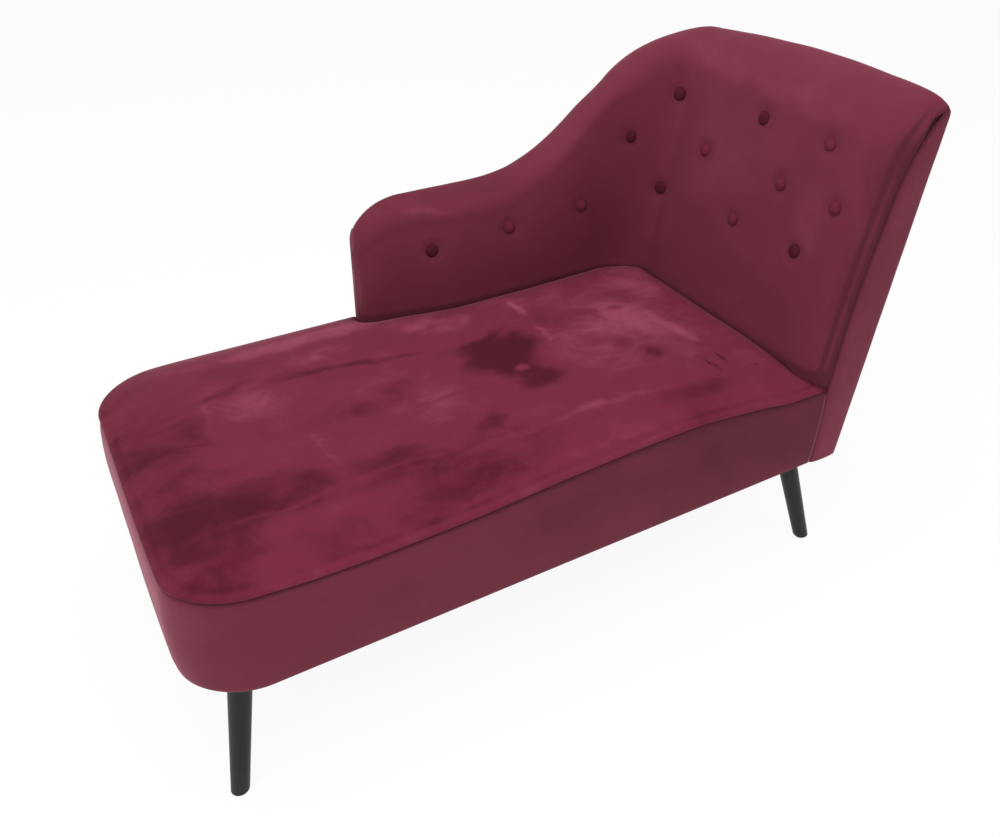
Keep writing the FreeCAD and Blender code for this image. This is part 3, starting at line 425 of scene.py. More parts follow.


# marks on the seat: x, y, reaches, turn, strength, crispness; the long light band along the rear edge at y 0.56 is a
# painted highlight
seatMarks = [
    (0.632, 0.312, 0.080, 0.072, 10, -0.62, 0.42), (0.648, 0.222, 0.056, 0.046, 0, -0.44, 0.3),
    (0.638, 0.256, 0.020, 0.016, 20, 0.60, 0.3), (0.650, 0.383, 0.070, 0.012, 12, -0.26, 0.4),
    (0.705, 0.345, 0.032, 0.050, 20, -0.24, 0.3), (0.768, 0.380, 0.040, 0.050, 15, -0.24, 0.3),
    (0.862, 0.180, 0.028, 0.022, 20, -0.38, 0.5), (0.835, 0.232, 0.020, 0.018, 0, -0.20, 0.4),
    (0.930, 0.112, 0.0035, 0.032, 8, -0.50, 0.4), (0.955, 0.122, 0.0035, 0.024, -14, -0.50, 0.4),
    (1.008, 0.088, 0.010, 0.006, 0, -0.40, 0.4), (0.960, 0.175, 0.010, 0.014, 30, -0.22, 0.4),
    (0.055, 0.300, 0.110, 0.280, 0, -0.22, 0.2), (0.190, 0.150, 0.085, 0.060, 0, -0.30, 0.4),
    (0.085, 0.120, 0.080, 0.090, 0, -0.26, 0.4), (0.330, 0.155, 0.060, 0.030, 0, -0.15, 0.4),
    (0.205, 0.390, 0.090, 0.055, -4, 0.18, 0.35), (0.185, 0.447, 0.055, 0.014, 12, -0.30, 0.35),
    (0.295, 0.437, 0.055, 0.018, -6, -0.24, 0.5), (0.425, 0.415, 0.100, 0.013, -9, -0.30, 0.5),
    (0.435, 0.298, 0.048, 0.036, 30, -0.24, 0.5), (0.370, 0.275, 0.024, 0.034, 30, -0.20, 0.4),
    (0.300, 0.300, 0.080, 0.060, 0, -0.12, 0.3), (0.470, 0.235, 0.062, 0.062, 0, 0.14, 0.3),
    (0.330, 0.560, 0.260, 0.040, 0, 0.30, 0.3), (0.360, 0.490, 0.080, 0.030, 0, 0.14, 0.4),
    (0.600, 0.470, 0.110, 0.050, -18, 0.24, 0.4), (0.748, 0.452, 0.008, 0.050, -4, 0.30, 0.4),
    (0.740, 0.360, 0.007, 0.050, -6, 0.20, 0.4), (0.910, 0.330, 0.050, 0.100, 10, 0.18, 0.3),
    (0.955, 0.245, 0.016, 0.080, 6, 0.20, 0.4), (1.010, 0.430, 0.050, 0.110, 0, 0.20, 0.3),
    (0.905, 0.360, 0.018, 0.014, 0, -0.24, 0.4), (0.850, 0.290, 0.080, 0.040, 0, 0.12, 0.3),
    (0.300, 0.035, 0.320, 0.035, 0, -0.22, 0.3), (0.520, 0.150, 0.032, 0.024, 0, -0.24, 0.4),
    (0.250, 0.118, 0.220, 0.005, 1, 0.12, 0.4), (0.620, 0.095, 0.300, 0.008, -2, 0.14, 0.4),
    (0.800, 0.060, 0.200, 0.022, 0, -0.14, 0.3), (0.140, 0.380, 0.008, 0.070, -8, 0.16, 0.4),
    (0.270, 0.210, 0.008, 0.060, 10, 0.12, 0.4), (0.620, 0.150, 0.120, 0.040, 8, 0.10, 0.3),
    (0.900, 0.300, 0.260, 0.260, 0, 0.22, 0.1), (0.450, 0.100, 0.240, 0.080, 0, -0.26, 0.1),
    (0.960, 0.060, 0.120, 0.050, 0, -0.10, 0.2)]


def makeSeat():
    r, far, depth = base["footRadius"], base["rearRadius"], base["depth"]
    rows = [r * (1 - math.cos(math.radians(90 * i / 30))) for i in range(30)]
    rows += [r + (depth - r - far) * i / 84 for i in range(85)]
    rows += [depth - far * (1 - math.cos(math.radians(90 * i / 34))) for i in range(33, -1, -1)]
    last, dense = seat["far"], seat["denseTo"]
    steps = [dense * (1 - math.cos(math.radians(90 * i / 26))) for i in range(27)]
    steps += [dense + (last - dense) * i / 204 for i in range(1, 205)]
    grid = [(x0 + (last - x0) * t / last, y) for y in rows for x0 in [footStart(y)] for t in steps]
    flat = np.array(grid)
    gap, nearest = wallDistance(flat)
    away = flat - nearest
    away /= np.linalg.norm(away, axis=1, keepdims=True) + 1e-9
    away *= np.sign(gap)[:, None]
    snug = (gap < seat["snug"]) & (gap > -seat["hidden"])  # points near the wall are drawn up to it
    flat[snug] = nearest[snug] + away[snug] * seat["clear"]
    lost = gap <= -seat["hidden"]
    napAndPaintedLight = strokes(flat[:, 0], flat[:, 1], seatMarks)
    points = []
    for k, ((x, y), g) in enumerate(zip(flat, gap)):
        d, g = max(0.0, edgeDistance(x, y)), max(0.0, g)
        rise = seat["crown"] * (1 - math.exp(-d / seat["fall"])) + seat["rim"] * rounded(d / seat["rim"])
        near = math.exp(-(g / seat["tuckReach"]) ** 1.3) * ease(d / 0.05)
        corner = math.hypot(x - seat["liftAt"][0], y - seat["liftAt"][1]) / seat["liftReach"]
        lift = seat["innerLift"] * math.exp(-corner ** 2)
        wave = 0.0012 * ripple((x, y, 0), 0.13, 5) + 0.0005 * ripple((x, y, 0), 0.045, 6)
        z = seamHeight(x, y) + rise + lift - seat["tuckDrop"] * near + wave * ease(d / 0.04)
        out = seat["proud"] * ease(1 - d / 0.03)
        side = -1 if y < 0.5 * depth else 1
        turn = min(1.0, max(0.0, (nearRadius(y) - x) / nearRadius(y)))
        points.append((x - footBow(x, y) - out * turn, y + out * side * math.sqrt(1 - turn * turn), z))
        # painted shade in the crease where the seat meets the wall, and a band of painted shade along the seat's
        # rolled edge
        napAndPaintedLight[k] -= 0.55 * math.exp(-(g / 0.0075) ** 1.5) + 0.16 * math.exp(-(g / 0.03) ** 2)
        napAndPaintedLight[k] -= 0.15 * math.exp(-((d - 0.011) / 0.004) ** 2) * ease((x + 0.1) / 0.2)
    width = len(steps)
    faces = []
    for j in range(len(rows) - 1):
        for i in range(width - 1):
            q = (j * width + i, j * width + i + 1, (j + 1) * width + i + 1, (j + 1) * width + i)
            if not any(lost[k] for k in q):
                faces.append(q)
    piece = makeObject("seatPad", points, faces, napAndPaintedLight=napAndPaintedLight)
    pick(piece)
    bpy.ops.object.mode_set(mode="EDIT")
    bpy.ops.mesh.select_all(action="SELECT")
    bpy.ops.mesh.delete_loose()
    bpy.ops.mesh.select_all(action="SELECT")
    bpy.ops.mesh.remove_doubles(threshold=0.00015)
    bpy.ops.mesh.select_all(action="DESELECT")
    bpy.ops.mesh.select_mode(type="EDGE")
    bpy.ops.mesh.select_non_manifold()
    bpy.ops.mesh.extrude_region_move(TRANSFORM_OT_translate={"value": (0, 0, -seat["hem"])})
    bpy.ops.object.mode_set(mode="OBJECT")
    for v in piece.data.vertices:  # the cloth turns in under the rim before it goes down
        if v.select:
            x, y = v.co.x + middle.x, v.co.y + middle.y
            v.co.x += seat["turnIn"] * ease(1 - x / 0.06)
            v.co.y += seat["turnIn"] * (ease(1 - y / 0.05) - ease((y - base["depth"] + 0.05) / 0.05))
    bpy.ops.object.mode_set(mode="EDIT")
    bpy.ops.mesh.extrude_region_move(TRANSFORM_OT_translate={"value": (0, 0, -0.001)})
    bpy.ops.transform.resize(value=(1, 1, 0), center_override=(0, 0, seat["under"]))
    bpy.ops.mesh.edge_face_add()
    bpy.ops.object.mode_set(mode="OBJECT")
    bpy.ops.object.select_all(action="DESELECT")
    facesOut(piece)
    return piece


seatPad = makeSeat()
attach(seatPad, "root")
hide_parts("seat_cover", "seat_foam")
print("seat pad made:", len(seatPad.data.polygons), "faces")


# path round the base, from the front seam past the foot to the arm's front
def basePath(inset, frontEnd, rearEnd, step=0.006):
    nearX, farX, farY = base["footRadius"], base["rearRadius"], base["depth"] - base["rearRadius"]
    near, far = nearX - inset, farX - inset
    quarter = np.linspace(0, math.pi / 2, 27)[1:]
    path = [(x, inset) for x in np.linspace(frontEnd, nearX, int((frontEnd - nearX) / step) + 1)]
    path += [(nearX - near * math.sin(a), nearX - near * math.cos(a)) for a in quarter]
    path += [(inset, y) for y in np.linspace(nearX, farY, 74)[1:]]
    path += [(farX - far * math.cos(a), farY + far * math.sin(a)) for a in quarter]
    path += [(x, base["depth"] - inset) for x in np.linspace(farX, rearEnd, int((rearEnd - farX) / step) + 1)[1:]]
    return [(x - footBow(x, y), y) for x, y in path]


# welt in the seam under the seat pad
welt = {"radius": 0.0024, "proud": 0.0006, "frontEnd": 1.084, "rearEnd": 0.4895,
        "sides": 12, "step": 0.005, "below": 0.0006}


def tube(name, path, radius, sides):
    path = [Vector(p) for p in path]
    points, faces = [], []
    for i, p in enumerate(path):
        ahead = (path[min(i + 1, len(path) - 1)] - path[max(i - 1, 0)]).normalized()
        side = ahead.cross(Vector((0, 0, 1))).normalized()
        up = side.cross(ahead)
        for k in range(sides):
            a = 2 * math.pi * k / sides
            points.append(p + (side * math.cos(a) + up * math.sin(a)) * radius)
    for i in range(len(path) - 1):
        for k in range(sides):
            n = (k + 1) % sides
            faces.append((i * sides + k, i * sides + n, (i + 1) * sides + n, (i + 1) * sides + k))
    faces.append(tuple(range(sides)))
    faces.append(tuple((len(path) - 1) * sides + k for k in range(sides)))
    piece = makeObject(name, points, faces)
    facesOut(piece)
    return piece


weltPath = basePath(welt["radius"] - welt["proud"], welt["frontEnd"], welt["rearEnd"], welt["step"])
weltPath = [(x, y, seamHeight(x, y) - welt["below"]) for x, y in weltPath]
weltCord = tube("seatWelt", weltPath, welt["radius"], welt["sides"])
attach(weltCord, "root")
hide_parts("seat_welt")
print("welt made")

# cloth stretched round the base and up the outside of the arm and back
cloth = {"thickness": 0.0014, "hem": 0.0030, "hemShare": 0.045, "head": 0.0024, "headShare": 0.040,
         "puff": 0.0012, "sunk": 0.0002}


# upright cloth over a path: foot(i) gives the lower point and the way out, topOf(i) the upper point
def stretched(name, foot, topOf, count, toneOf, rows, puffOf=None):
    points, faces, napAndPaintedLight = [], [], []
    levels = [0.0, 0.008, 0.02, 0.045] + [0.08 + 0.84 * k / (rows - 6) for k in range(rows - 5)]
    levels += [0.95, 0.97, 0.985, 1.0]
    for i in range(count):
        (low, out), high = foot(i), Vector(topOf(i))
        low, out = Vector(low), Vector(out)
        full = puffOf(i) if puffOf else cloth["puff"]
        for t in levels:
            p = low.lerp(high, t)
            hemIn = cloth["hem"] * max(0.0, 1 - t / cloth["hemShare"]) ** 2
            headIn = cloth["head"] * max(0.0, 1 - (1 - t) / cloth["headShare"]) ** 2
            puff = full * math.sin(math.pi * t) ** 0.7 + 0.0005 * ripple(p, 0.09, 8)
            points.append(p + out * (puff * min(1, 8 * t, 8 * (1 - t)) - hemIn - headIn - cloth["sunk"]))
            napAndPaintedLight.append(toneOf(p, t))
    n = len(levels)
    for i in range(count - 1):
        for j in range(n - 1):
            faces.append((i * n + j, i * n + j + 1, (i + 1) * n + j + 1, (i + 1) * n + j))
    return makeObject(name, points, faces, napAndPaintedLight=napAndPaintedLight)


def thickened(piece, thickness):
    solid = piece.modifiers.new("thickness", "SOLIDIFY")
    solid.thickness, solid.offset = thickness, -1
    applyModifiers(piece)


def outward(path, i):
    a, b = Vector((*path[max(i - 1, 0)], 0)), Vector((*path[min(i + 1, len(path) - 1)], 0))
    ahead = (b - a).normalized()
    return Vector((-ahead.y, ahead.x, 0))


skirtShape = {"frontEnd": 1.0903, "rearEnd": 0.4988, "bottom": 0.1918, "belowSeam": 0.0030, "rows": 22,
              "puff": 0.0026, "footPuff": 0.0060, "lean": 0.0122, "wander": 0.02}
skirtPath = basePath(0.0, skirtShape["frontEnd"], skirtShape["rearEnd"])
skirtMarks = [  # along the front: x, height, reaches, turn, strength, crispness
    (0.170, 0.315, 0.035, 0.020, 0, -0.16, 0.4), (0.280, 0.260, 0.050, 0.035, 20, -0.14, 0.3),
    (0.240, 0.290, 0.030, 0.020, 0, -0.08, 0.3), (0.420, 0.250, 0.060, 0.030, 0, 0.10, 0.3),
    (0.560, 0.300, 0.070, 0.030, 0, -0.10, 0.3), (0.700, 0.240, 0.080, 0.035, 0, 0.06, 0.3),
    (0.850, 0.300, 0.060, 0.030, 0, -0.07, 0.3), (1.000, 0.260, 0.060, 0.050, 0, -0.05, 0.3)]


def skirtFoot(i):
    x, y = skirtPath[i]
    return (x, y, skirtShape["bottom"]), outward(skirtPath, i)


def skirtTop(i):
    x, y = skirtPath[i]
    if y == 0.0:  # the seam by the side panel leans a little
        x = x + skirtShape["lean"] * ease((x - 0.9) / 0.19)
    return x, y, seamHeight(x, y) - skirtShape["belowSeam"]


def skirtPuff(i):  # fuller at the foot end
    x, y = skirtPath[i]
    more = skirtShape["footPuff"] - skirtShape["puff"]
    return skirtShape["puff"] + more * ease(1 - x / 0.10) * ease(y / 0.12)


# painted shadow under the welt at the top, painted shade darkening the front towards the head end, lighter low on the
# front, a painted highlight at the foot end where the light grazes, and the marks of skirtMarks on the front
def skirtLightShadeAndMarks(p, t):
    tone = -0.55 * max(0.0, 1 - (1 - t) / 0.045) - 0.20 * max(0.0, 1 - (1 - t) / 0.14) ** 2
    if p.y < 0.3 and p.x > 0.04:
        tone += 0.02 - 0.33 * ease((p.x - 0.15) / 0.75) + 0.10 * ease(1 - t / 0.5) * ease((p.x - 0.2) / 0.5)
        tone += float(strokes([p.x], [p.z], skirtMarks, skirtShape["wander"])[0])
    return tone + 0.10 + 0.10 * ease(1 - p.x / 0.16) + 0.26 * ease(1 - p.x / 0.09) * ease(p.y / 0.10)


skirt = stretched("skirt", skirtFoot, skirtTop, len(skirtPath), skirtLightShadeAndMarks, skirtShape["rows"], skirtPuff)
if skirt.data.polygons[5].normal.y > 0:
    skirt.data.flip_normals()
thickened(skirt, cloth["thickness"])
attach(skirt, "root")
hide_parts("skirt_cover", "skirt_wadding")

# outer cover: from the arm's front round the corner to the back's open edge
outerShape = {"armCount": 95, "cornerCount": 30, "backCount": 100, "rows": 34, "overlap": 0.001,
              "armDrop": 0.014, "edgeDrop": 0.008}
outer = []
for x in np.linspace(wall["armStart"] + wall["outerNose"] - 0.0008, cornerX, outerShape["armCount"]):
    outer.append((armCut(x), (0, 1, 0)))
for a in np.linspace(0, 90, outerShape["cornerCount"])[1:-1]:
    s, c = math.sin(math.radians(a)), math.cos(math.radians(a))
    rim = (cornerX + base["cornerRadius"] * s, cornerY + base["cornerRadius"] * c)
    top = topOfArm(cornerX + base["cornerRadius"] * math.radians(a))
    outer.append((Cut(rim, (cornerX, cornerY), (s, c), ease(a / 90), top, 0), (s, c, 0)))
for y in np.linspace(cornerY, wall["skin"] + 0.001, outerShape["backCount"]):
    outer.append((backCut(y), (1, 0, 0)))


def outerFoot(i):
    cut, out = outer[i]
    return cut.at(0.0, base["bottom"]), out


def outerTop(i):  # a little lower at both ends, where the corners are rounded
    cut, out = outer[i]
    x, y = cut.outer.x, cut.outer.y
    low = outerShape["armDrop"] * ease(1 - (x - wall["armStart"] - 0.008) / 0.025)
    low += outerShape["edgeDrop"] * ease(1 - y / 0.016)
    return cut.at(0.0, cut.top - cut.crest + outerShape["overlap"] - low)


# painted shade under the crest roll at the top, slightly darker towards the bottom
def outerShade(p, t):
    return -0.5 * max(0.0, 1 - (1 - t) / 0.012) - 0.06 * ease(1 - t / 0.3)


outerCover = stretched("outerCover", outerFoot, outerTop, len(outer), outerShade, outerShape["rows"])
if outerCover.data.polygons[5].normal.y < 0:
    outerCover.data.flip_normals()
thickened(outerCover, cloth["thickness"])
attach(outerCover, "root")
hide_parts("outer_arm_cover", "outer_back_cover", "arm_wadding", "back_wadding")
print("skirt and outer cover made")

# side panel that closes the back's open edge
panel = {"thickness": 0.0016, "puff": 0.0040, "inset": 0.0022, "across": 14, "footRows": 40, "foot": 0.064,
         "tip": 0.016}


def makePanel():
    cut = backCut(0.0)
    edge = panelEdge(cut)
    n = panel["across"]
    points, faces, napAndPaintedLight = [], [], []
    for inner, z in edge:
        high = min(1.0, max(0.0, (z - cut.top + panel["tip"]) / panel["tip"]))
        outerPoint = cut.at((wall["skin"] + cut.crest) * (1 - math.sqrt(1 - high * high)), z)
        wide = (outerPoint - inner).length
        tone = 0.20 + 0.16 * ease((0.50 - z) / 0.30) - 0.14 * ease((z - 0.70) / 0.12)
        for k in range(n + 1):
            t = 0.5 - 0.5 * math.cos(math.pi * k / n)
            p = inner.lerp(outerPoint, t)
            lift = math.sin(math.pi * min(1, max(0, t))) ** 0.45
            puff = panel["puff"] * min(1.0, wide / 0.05) * lift
            p.y = panel["inset"] * (1 - min(1, lift * 1.6)) - puff + 0.0004 * ripple(p, 0.06, 9)
            points.append(p)
            # painted shade in the seam along the wall's edge
            napAndPaintedLight.append(tone - 0.85 * math.exp(-(t * wide / 0.0030) ** 2) - 0.12 * math.exp(-(t * wide / 0.014) ** 2))
    for j in range(len(edge) - 1):
        for k in range(j * (n + 1), j * (n + 1) + n):
            faces.append((k, k + 1, k + n + 2, k + n + 1))
    piece = makeObject("sidePanel", points, faces, napAndPaintedLight=napAndPaintedLight)
    if piece.data.polygons[20].normal.y > 0:
        piece.data.flip_normals()
    thickened(piece, panel["thickness"])
    return piece


def panelEdge(cut):  # inner edge of the panel, from the crest down to the foot
    face = wallProfile(backCut(wall["skin"]))[wallRows["crest"]:shownRows]
    edge = [(Vector((p.x, 0, p.z)), p.z) for p in face]
    for i in range(1, panel["footRows"] + 1):
        z = wall["tuck"] + (base["bottom"] - wall["tuck"]) * i / panel["footRows"]
        t = max(0.0, (base["seam"] - z) / (base["seam"] - base["bottom"]))
        edge.append((cut.at(cut.thick + (panel["foot"] - cut.thick) * t, z), z))
    return edge


sidePanel = makePanel()
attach(sidePanel, "root")
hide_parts("back_side_panel")
print("side panel made")


# one covered button, shaped from a disc, then copied to every tuft
def makeButton():
    bpy.ops.object.select_all(action="DESELECT")
    bpy.ops.mesh.primitive_cylinder_add(vertices=tufts["sides"], radius=tufts["radius"], depth=tufts["thick"],
                                        location=(0, 0, 0.5 * tufts["thick"]))
    button = bpy.context.active_object
    bpy.ops.object.transform_apply(location=True, rotation=True, scale=True)
    for f in button.data.polygons:
        f.select = f.normal.z > 0.9
    bpy.ops.object.mode_set(mode="EDIT")
    bpy.ops.mesh.select_mode(type="FACE")
    for inset, lift in tufts["dome"]:
        bpy.ops.mesh.inset(thickness=inset, depth=lift)
    bpy.ops.object.mode_set(mode="OBJECT")
    for f in button.data.polygons:
        f.use_smooth = True
    soften = button.modifiers.new("soften", "SUBSURF")
    soften.levels = soften.render_levels = 1
    applyModifiers(button)
    return button


def placeButtons(name, master, seats, dark):
    copies = []
    for (place, facing), low in zip(seats, dark):
        copy = master.copy()
        copy.data = master.data.copy()
        tone = tufts["darkTone"] if low else tufts["plainTone"]
        # painted shade round each button's edge
        rim = [tone - 0.30 * ease((math.hypot(v.co.x, v.co.y) / tufts["radius"] - 0.72) / 0.25)
               for v in copy.data.vertices]
        copy.data.attributes.new("napAndPaintedLight", "FLOAT", "POINT").data.foreach_set("value", rim)
        bpy.context.collection.objects.link(copy)
        turn = Vector((0, 0, 1)).rotation_difference(facing).to_matrix().to_4x4()
        where = place - facing * (tufts["dimple"] - tufts["raised"]) - middle
        copy.data.transform(Matrix.Translation(where) @ turn)
        copies.append(copy)
    bpy.ops.object.select_all(action="DESELECT")
    for c in copies:
        c.select_set(True)
    bpy.context.view_layer.objects.active = copies[0]
    bpy.ops.object.join()
    copies[0].name = name
    bpy.ops.object.select_all(action="DESELECT")
    return copies[0]


master = makeButton()
armButtons = placeButtons("armButtons", master, armTufts, tufts["armDark"])
backButtons = placeButtons("backButtons", master, backTufts, tufts["backDark"])
bpy.data.objects.remove(master, do_unlink=True)
for piece, node in ((armButtons, "arm_buttons"), (backButtons, "back_buttons")):
    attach(piece, "root")
    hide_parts(node)
print("buttons made:", len(armTufts) + len(backTufts))


# materials
def newMaterial(name):
    material = bpy.data.materials.new(name)
    material.use_nodes = True
    nodes = material.node_tree.nodes
    nodes.clear()
    out = nodes.new("ShaderNodeOutputMaterial")
    shader = nodes.new("ShaderNodeBsdfPrincipled")
    material.node_tree.links.new(shader.outputs[0], out.inputs[0])
    return material, nodes, material.node_tree.links, shader


def objectPlace(nodes, links, scale=(1, 1, 1)):
    coordinates = nodes.new("ShaderNodeTexCoord")
    mapping = nodes.new("ShaderNodeMapping")
    mapping.inputs["Scale"].default_value = scale
    links.new(coordinates.outputs["Object"], mapping.inputs["Vector"])
    return mapping.outputs[0]


def noiseOf(nodes, links, place, scale, detail=3.0, rough=0.55, distort=0.0):
    texture = nodes.new("ShaderNodeTexNoise")
    texture.inputs["Scale"].default_value = scale
    texture.inputs["Detail"].default_value = detail
    texture.inputs["Roughness"].default_value = rough
    texture.inputs["Distortion"].default_value = distort
    links.new(place, texture.inputs["Vector"])
    return texture.outputs["Fac"]


def spread(nodes, links, value, low, high, toLow=0.0, toHigh=1.0):
    m = nodes.new("ShaderNodeMapRange")
    m.interpolation_type = "SMOOTHSTEP"
    for key, number in (("From Min", low), ("From Max", high), ("To Min", toLow), ("To Max", toHigh)):
        m.inputs[key].default_value = number
    links.new(value, m.inputs["Value"])
    return m.outputs[0]


def blend(nodes, links, share, first, second):
    mix = nodes.new("ShaderNodeMix")
    mix.data_type = "RGBA"
    for key, value in ((0, share), (6, first), (7, second)):
        if isinstance(value, (tuple, float)):
            mix.inputs[key].default_value = (*value, 1) if isinstance(value, tuple) else value
        else:
            links.new(value, mix.inputs[key])
    return mix.outputs[2]


def sums(nodes, links, kind, a, b):
    m = nodes.new("ShaderNodeMath")
    m.operation = kind
    for key, value in ((0, a), (1, b)):
        if isinstance(value, float):
            m.inputs[key].default_value = value
        else:
            links.new(value, m.inputs[key])
    return m.outputs[0]


# the pile's colours from dark to light, which take brushed marks and painted light and shade, a pale rose for painted
# sheen, and how it takes the light
velvet = {"dark": (0.058, 0.0035, 0.0120), "mid": (0.135, 0.0135, 0.0330), "light": (0.250, 0.0460, 0.0830),
          "sheenWashColour": (0.125, 0.0330, 0.0480), "sheen": (0.95, 0.50, 0.56), "sheenRoughness": 0.32,
          "roughness": 0.92, "specular": 0.15, "fineBy": 0.035, "pileScale": 900.0, "pileDepth": 0.0004}


def velvetMaterial(name, tone, broadBy, mediumBy, sheen, sheenWash=0.0, stretch=(1, 1, 1)):
    material, nodes, links, shader = newMaterial(name)
    place = objectPlace(nodes, links, stretch)
    broad = spread(nodes, links, noiseOf(nodes, links, place, 4.2, 4.0, 0.55, 0.5), 0.31, 0.69, -0.5, 0.5)
    medium = spread(nodes, links, noiseOf(nodes, links, place, 13.0, 4.0, 0.60, 0.7), 0.33, 0.67, -0.5, 0.5)
    fine = spread(nodes, links, noiseOf(nodes, links, place, 120.0, 3.0, 0.6), 0.2, 0.8, -0.5, 0.5)
    mark = nodes.new("ShaderNodeAttribute")
    mark.attribute_name = "napAndPaintedLight"
    napAndPaintedLight = sums(nodes, links, "ADD", mark.outputs["Fac"], tone)
    for source, share in ((broad, broadBy), (medium, mediumBy), (fine, velvet["fineBy"])):
        napAndPaintedLight = sums(nodes, links, "ADD", napAndPaintedLight, sums(nodes, links, "MULTIPLY", source, share))
    lower = blend(nodes, links, spread(nodes, links, napAndPaintedLight, 0.0, 0.5), velvet["dark"], velvet["mid"])
    colour = blend(nodes, links, spread(nodes, links, napAndPaintedLight, 0.5, 1.0), lower, velvet["light"])
    # painted sheen: a share of pale rose mixed in, most on the upright wall and skirt
    if sheenWash:
        colour = blend(nodes, links, sheenWash, colour, velvet["sheenWashColour"])
    links.new(colour, shader.inputs["Base Color"])
    shader.inputs["Roughness"].default_value = velvet["roughness"]
    shader.inputs["Specular IOR Level"].default_value = velvet["specular"]
    links.new(spread(nodes, links, mark.outputs["Fac"], -0.5, 0.0, 0.0, sheen), shader.inputs["Sheen Weight"])
    shader.inputs["Sheen Roughness"].default_value = velvet["sheenRoughness"]
    shader.inputs["Sheen Tint"].default_value = (*velvet["sheen"], 1)
    pile = noiseOf(nodes, links, objectPlace(nodes, links), velvet["pileScale"], 2.0, 0.6)
    bump = nodes.new("ShaderNodeBump")
    bump.inputs["Strength"].default_value = 0.15
    bump.inputs["Distance"].default_value = velvet["pileDepth"]
    links.new(pile, bump.inputs["Height"])
    links.new(bump.outputs[0], shader.inputs["Normal"])
    return material


# tone, shares of broad and medium patches, sheen, share of painted sheen and stretch; tone and painted sheen differ
# by piece as painted light and shade on one velvet, and the welt is dark as painted shade in the seam
seatVelvet = velvetMaterial("seatVelvet", 0.50, 0.20, 0.17, 0.20, 0.0, (1.0, 1.35, 1.0))
buttonVelvet = velvetMaterial("buttonVelvet", 0.46, 0.0, 0.06, 0.16, 0.08)
wallVelvet = velvetMaterial("wallVelvet", 0.54, 0.12, 0.06, 0.26, 0.30)
skirtVelvet = velvetMaterial("skirtVelvet", 0.40, 0.10, 0.08, 0.30, 0.35)
weltVelvet = velvetMaterial("weltVelvet", 0.12, 0.05, 0.05, 0.12, 0.1)
for piece, material in ((seatPad, seatVelvet), (wallPad, wallVelvet), (skirt, skirtVelvet), (outerCover, skirtVelvet),
                        (sidePanel, skirtVelvet), (weltCord, weltVelvet), (armButtons, buttonVelvet),
                        (backButtons, buttonVelvet)):
    piece.data.materials.clear()
    piece.data.materials.append(material)


def plainGrain(name, first, second, scale, stretch, rough, metal=0.0, shine=0.5):
    material, nodes, links, shader = newMaterial(name)
    place = objectPlace(nodes, links, stretch)
    grain = noiseOf(nodes, links, place, scale, 4.0, 0.6, 0.4)
    links.new(blend(nodes, links, spread(nodes, links, grain, 0.3, 0.7), first, second), shader.inputs["Base Color"])
    links.new(spread(nodes, links, grain, 0.2, 0.8, rough - 0.06, rough + 0.08), shader.inputs["Roughness"])
    shader.inputs["Metallic"].default_value = metal
    shader.inputs["Specular IOR Level"].default_value = shine
    bump = nodes.new("ShaderNodeBump")
    bump.inputs["Strength"].default_value = 0.3
    bump.inputs["Distance"].default_value = 0.0003
    links.new(grain, bump.inputs["Height"])
    links.new(bump.outputs[0], shader.inputs["Normal"])
    return material


finishes = {
    "legs": plainGrain("legLacquer", (0.0075, 0.0092, 0.0066), (0.0135, 0.0155, 0.0112), 60.0, (1, 1, 0.12),
                       0.44, 0, 0.28),
    "timber": plainGrain("beech", (0.50, 0.33, 0.19), (0.62, 0.44, 0.27), 40.0, (0.2, 1, 1), 0.7),
    "board": plainGrain("plywood", (0.42, 0.29, 0.17), (0.52, 0.37, 0.23), 30.0, (0.3, 1, 1), 0.75),
    "webbing": plainGrain("jute", (0.16, 0.12, 0.07), (0.28, 0.21, 0.13), 500.0, (1, 1, 1), 0.9),
    "hessian": plainGrain("hessian", (0.40, 0.30, 0.17), (0.52, 0.41, 0.26), 700.0, (1, 1, 1), 0.95),
    "wadding": plainGrain("wadding", (0.78, 0.77, 0.73), (0.90, 0.89, 0.86), 90.0, (1, 1, 1), 1.0),
    "lining": plainGrain("lining", (0.010, 0.010, 0.011), (0.022, 0.022, 0.024), 800.0, (1, 1, 1), 0.85),
    "twine": plainGrain("twine", (0.60, 0.55, 0.44), (0.74, 0.69, 0.58), 900.0, (1, 1, 1), 0.8),
    "toggles": plainGrain("toggles", (0.74, 0.74, 0.72), (0.82, 0.82, 0.80), 200.0, (1, 1, 1), 0.5),
    "glides": plainGrain("glides", (0.012, 0.012, 0.012), (0.020, 0.020, 0.020), 300.0, (1, 1, 1), 0.55),
    "steel": plainGrain("zinc", (0.52, 0.52, 0.52), (0.64, 0.64, 0.64), 250.0, (1, 1, 1), 0.35, 1.0),
}
slotOf = {s["node"]: s["material_slot"] for s in frame["record"]["subparts"]}
for node, held in frame["nodes"].items():
    material = finishes.get(slotOf.get(node), wallVelvet)
    for part in (held if isinstance(held, (list, tuple)) else [held]):
        if part.type == "MESH":
            for slot in part.material_slots:
                slot.material = material
print("materials made")

# floor, light and camera
studio = {"floorSize": 14, "paper": 0.93, "whiteShare": 0.92, "air": 0.55, "aim": (0, 0, 0.35)}


def seenDirectly(nodes, links):  # the backdrop also shows in metal and glass
    ray = nodes.new("ShaderNodeLightPath")
    seen = sums(nodes, links, "MAXIMUM", ray.outputs["Is Camera Ray"], ray.outputs["Is Glossy Ray"])
    return sums(nodes, links, "MAXIMUM", seen, ray.outputs["Is Transmission Ray"])


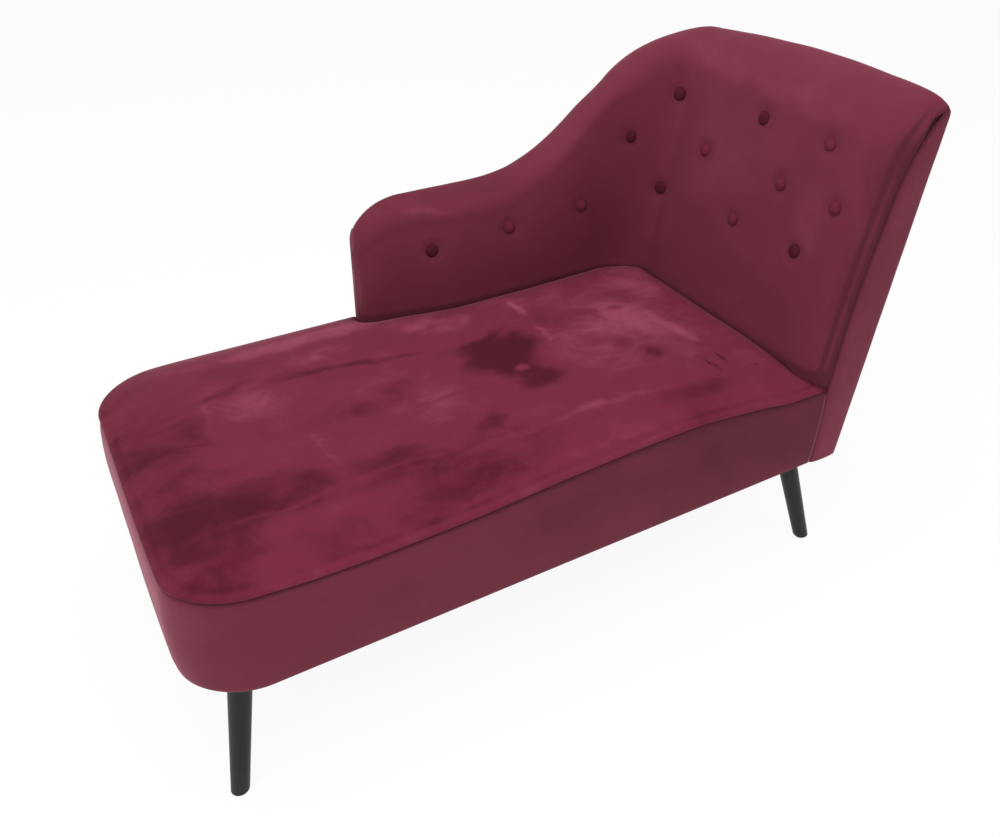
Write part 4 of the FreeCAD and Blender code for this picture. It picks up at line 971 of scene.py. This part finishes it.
def mixInto(nodes, links, share, first, second, out):
    mix = nodes.new("ShaderNodeMixShader")
    for source, socket in ((share, 0), (first.outputs[0], 1), (second.outputs[0], 2)):
        links.new(source, mix.inputs[socket])
    links.new(mix.outputs[0], out.inputs[0])


bpy.ops.mesh.primitive_plane_add(size=studio["floorSize"], location=(0, 0, 0))
floor = bpy.context.active_object
floor.name = "floor"
bpy.ops.object.transform_apply(location=True, rotation=True, scale=True)
material, nodes, links, shader = newMaterial("floorPaper")
shader.inputs["Base Color"].default_value = (studio["paper"],) * 3 + (1,)
shader.inputs["Roughness"].default_value = 0.9
glow = nodes.new("ShaderNodeEmission")
glow.inputs["Color"].default_value = (1, 1, 1, 1)
white = sums(nodes, links, "MULTIPLY", seenDirectly(nodes, links), studio["whiteShare"])
out = next(n for n in nodes if n.type == "OUTPUT_MATERIAL")
mixInto(nodes, links, white, shader, glow, out)
floor.data.materials.append(material)

world = bpy.data.worlds.new("studio")
world.use_nodes = True
bpy.context.scene.world = world
nodes, links = world.node_tree.nodes, world.node_tree.links
nodes.clear()
out = nodes.new("ShaderNodeOutputWorld")
air = nodes.new("ShaderNodeBackground")
air.inputs["Color"].default_value = (1, 1, 1, 1)
air.inputs["Strength"].default_value = studio["air"]
shownAir = nodes.new("ShaderNodeBackground")
shownAir.inputs["Color"].default_value = (1, 1, 1, 1)
mixInto(nodes, links, seenDirectly(nodes, links), air, shownAir, out)

# place, size and power
lamps = {"key": ((-1.8, -1.5, 2.4), 2.2, 40), "fill": ((1.6, -2.4, 2.2), 2.4, 18),
         "top": ((-0.2, 0.1, 3.0), 2.4, 46)}
for name, (place, size, power) in lamps.items():
    lamp = bpy.data.lights.new(name, "AREA")
    lamp.size, lamp.energy = size, power
    holder = bpy.data.objects.new(name, lamp)
    holder.location = place
    holder.rotation_euler = (Vector(studio["aim"]) - Vector(place)).to_track_quat("-Z", "Y").to_euler()
    bpy.context.collection.objects.link(holder)

# the photograph's own viewing angle: place, degrees, millimetres and shares of the frame
view = {"place": (-0.100119, -0.963993, 1.280816), "yaw": 30.49, "pitch": 29.85, "roll": 0.40,
        "lens": 35.70, "sensor": 36.0, "shiftX": -0.01137, "shiftY": -0.08455}
camera = bpy.data.cameras.new("camera")
camera.sensor_width, camera.lens = view["sensor"], view["lens"]
camera.shift_x, camera.shift_y = view["shiftX"], view["shiftY"]
camera.clip_start, camera.clip_end = 0.05, 60
yaw, pitch, roll = (math.radians(view[k]) for k in ("yaw", "pitch", "roll"))
ahead = Vector((math.sin(yaw) * math.cos(pitch), math.cos(yaw) * math.cos(pitch), -math.sin(pitch)))
right = Vector((math.cos(yaw), -math.sin(yaw), 0))
up = right.cross(ahead)
side = right * math.cos(roll) + up * math.sin(roll)
up = up * math.cos(roll) - right * math.sin(roll)
holder = bpy.data.objects.new("camera", camera)
turn = Matrix((side, up, -ahead)).transposed().to_4x4()
holder.matrix_world = Matrix.Translation(Vector(view["place"]) - middle) @ turn
bpy.context.collection.objects.link(holder)
bpy.context.scene.camera = holder
bpy.context.scene.view_settings.view_transform = "Standard"

print("scene ready")
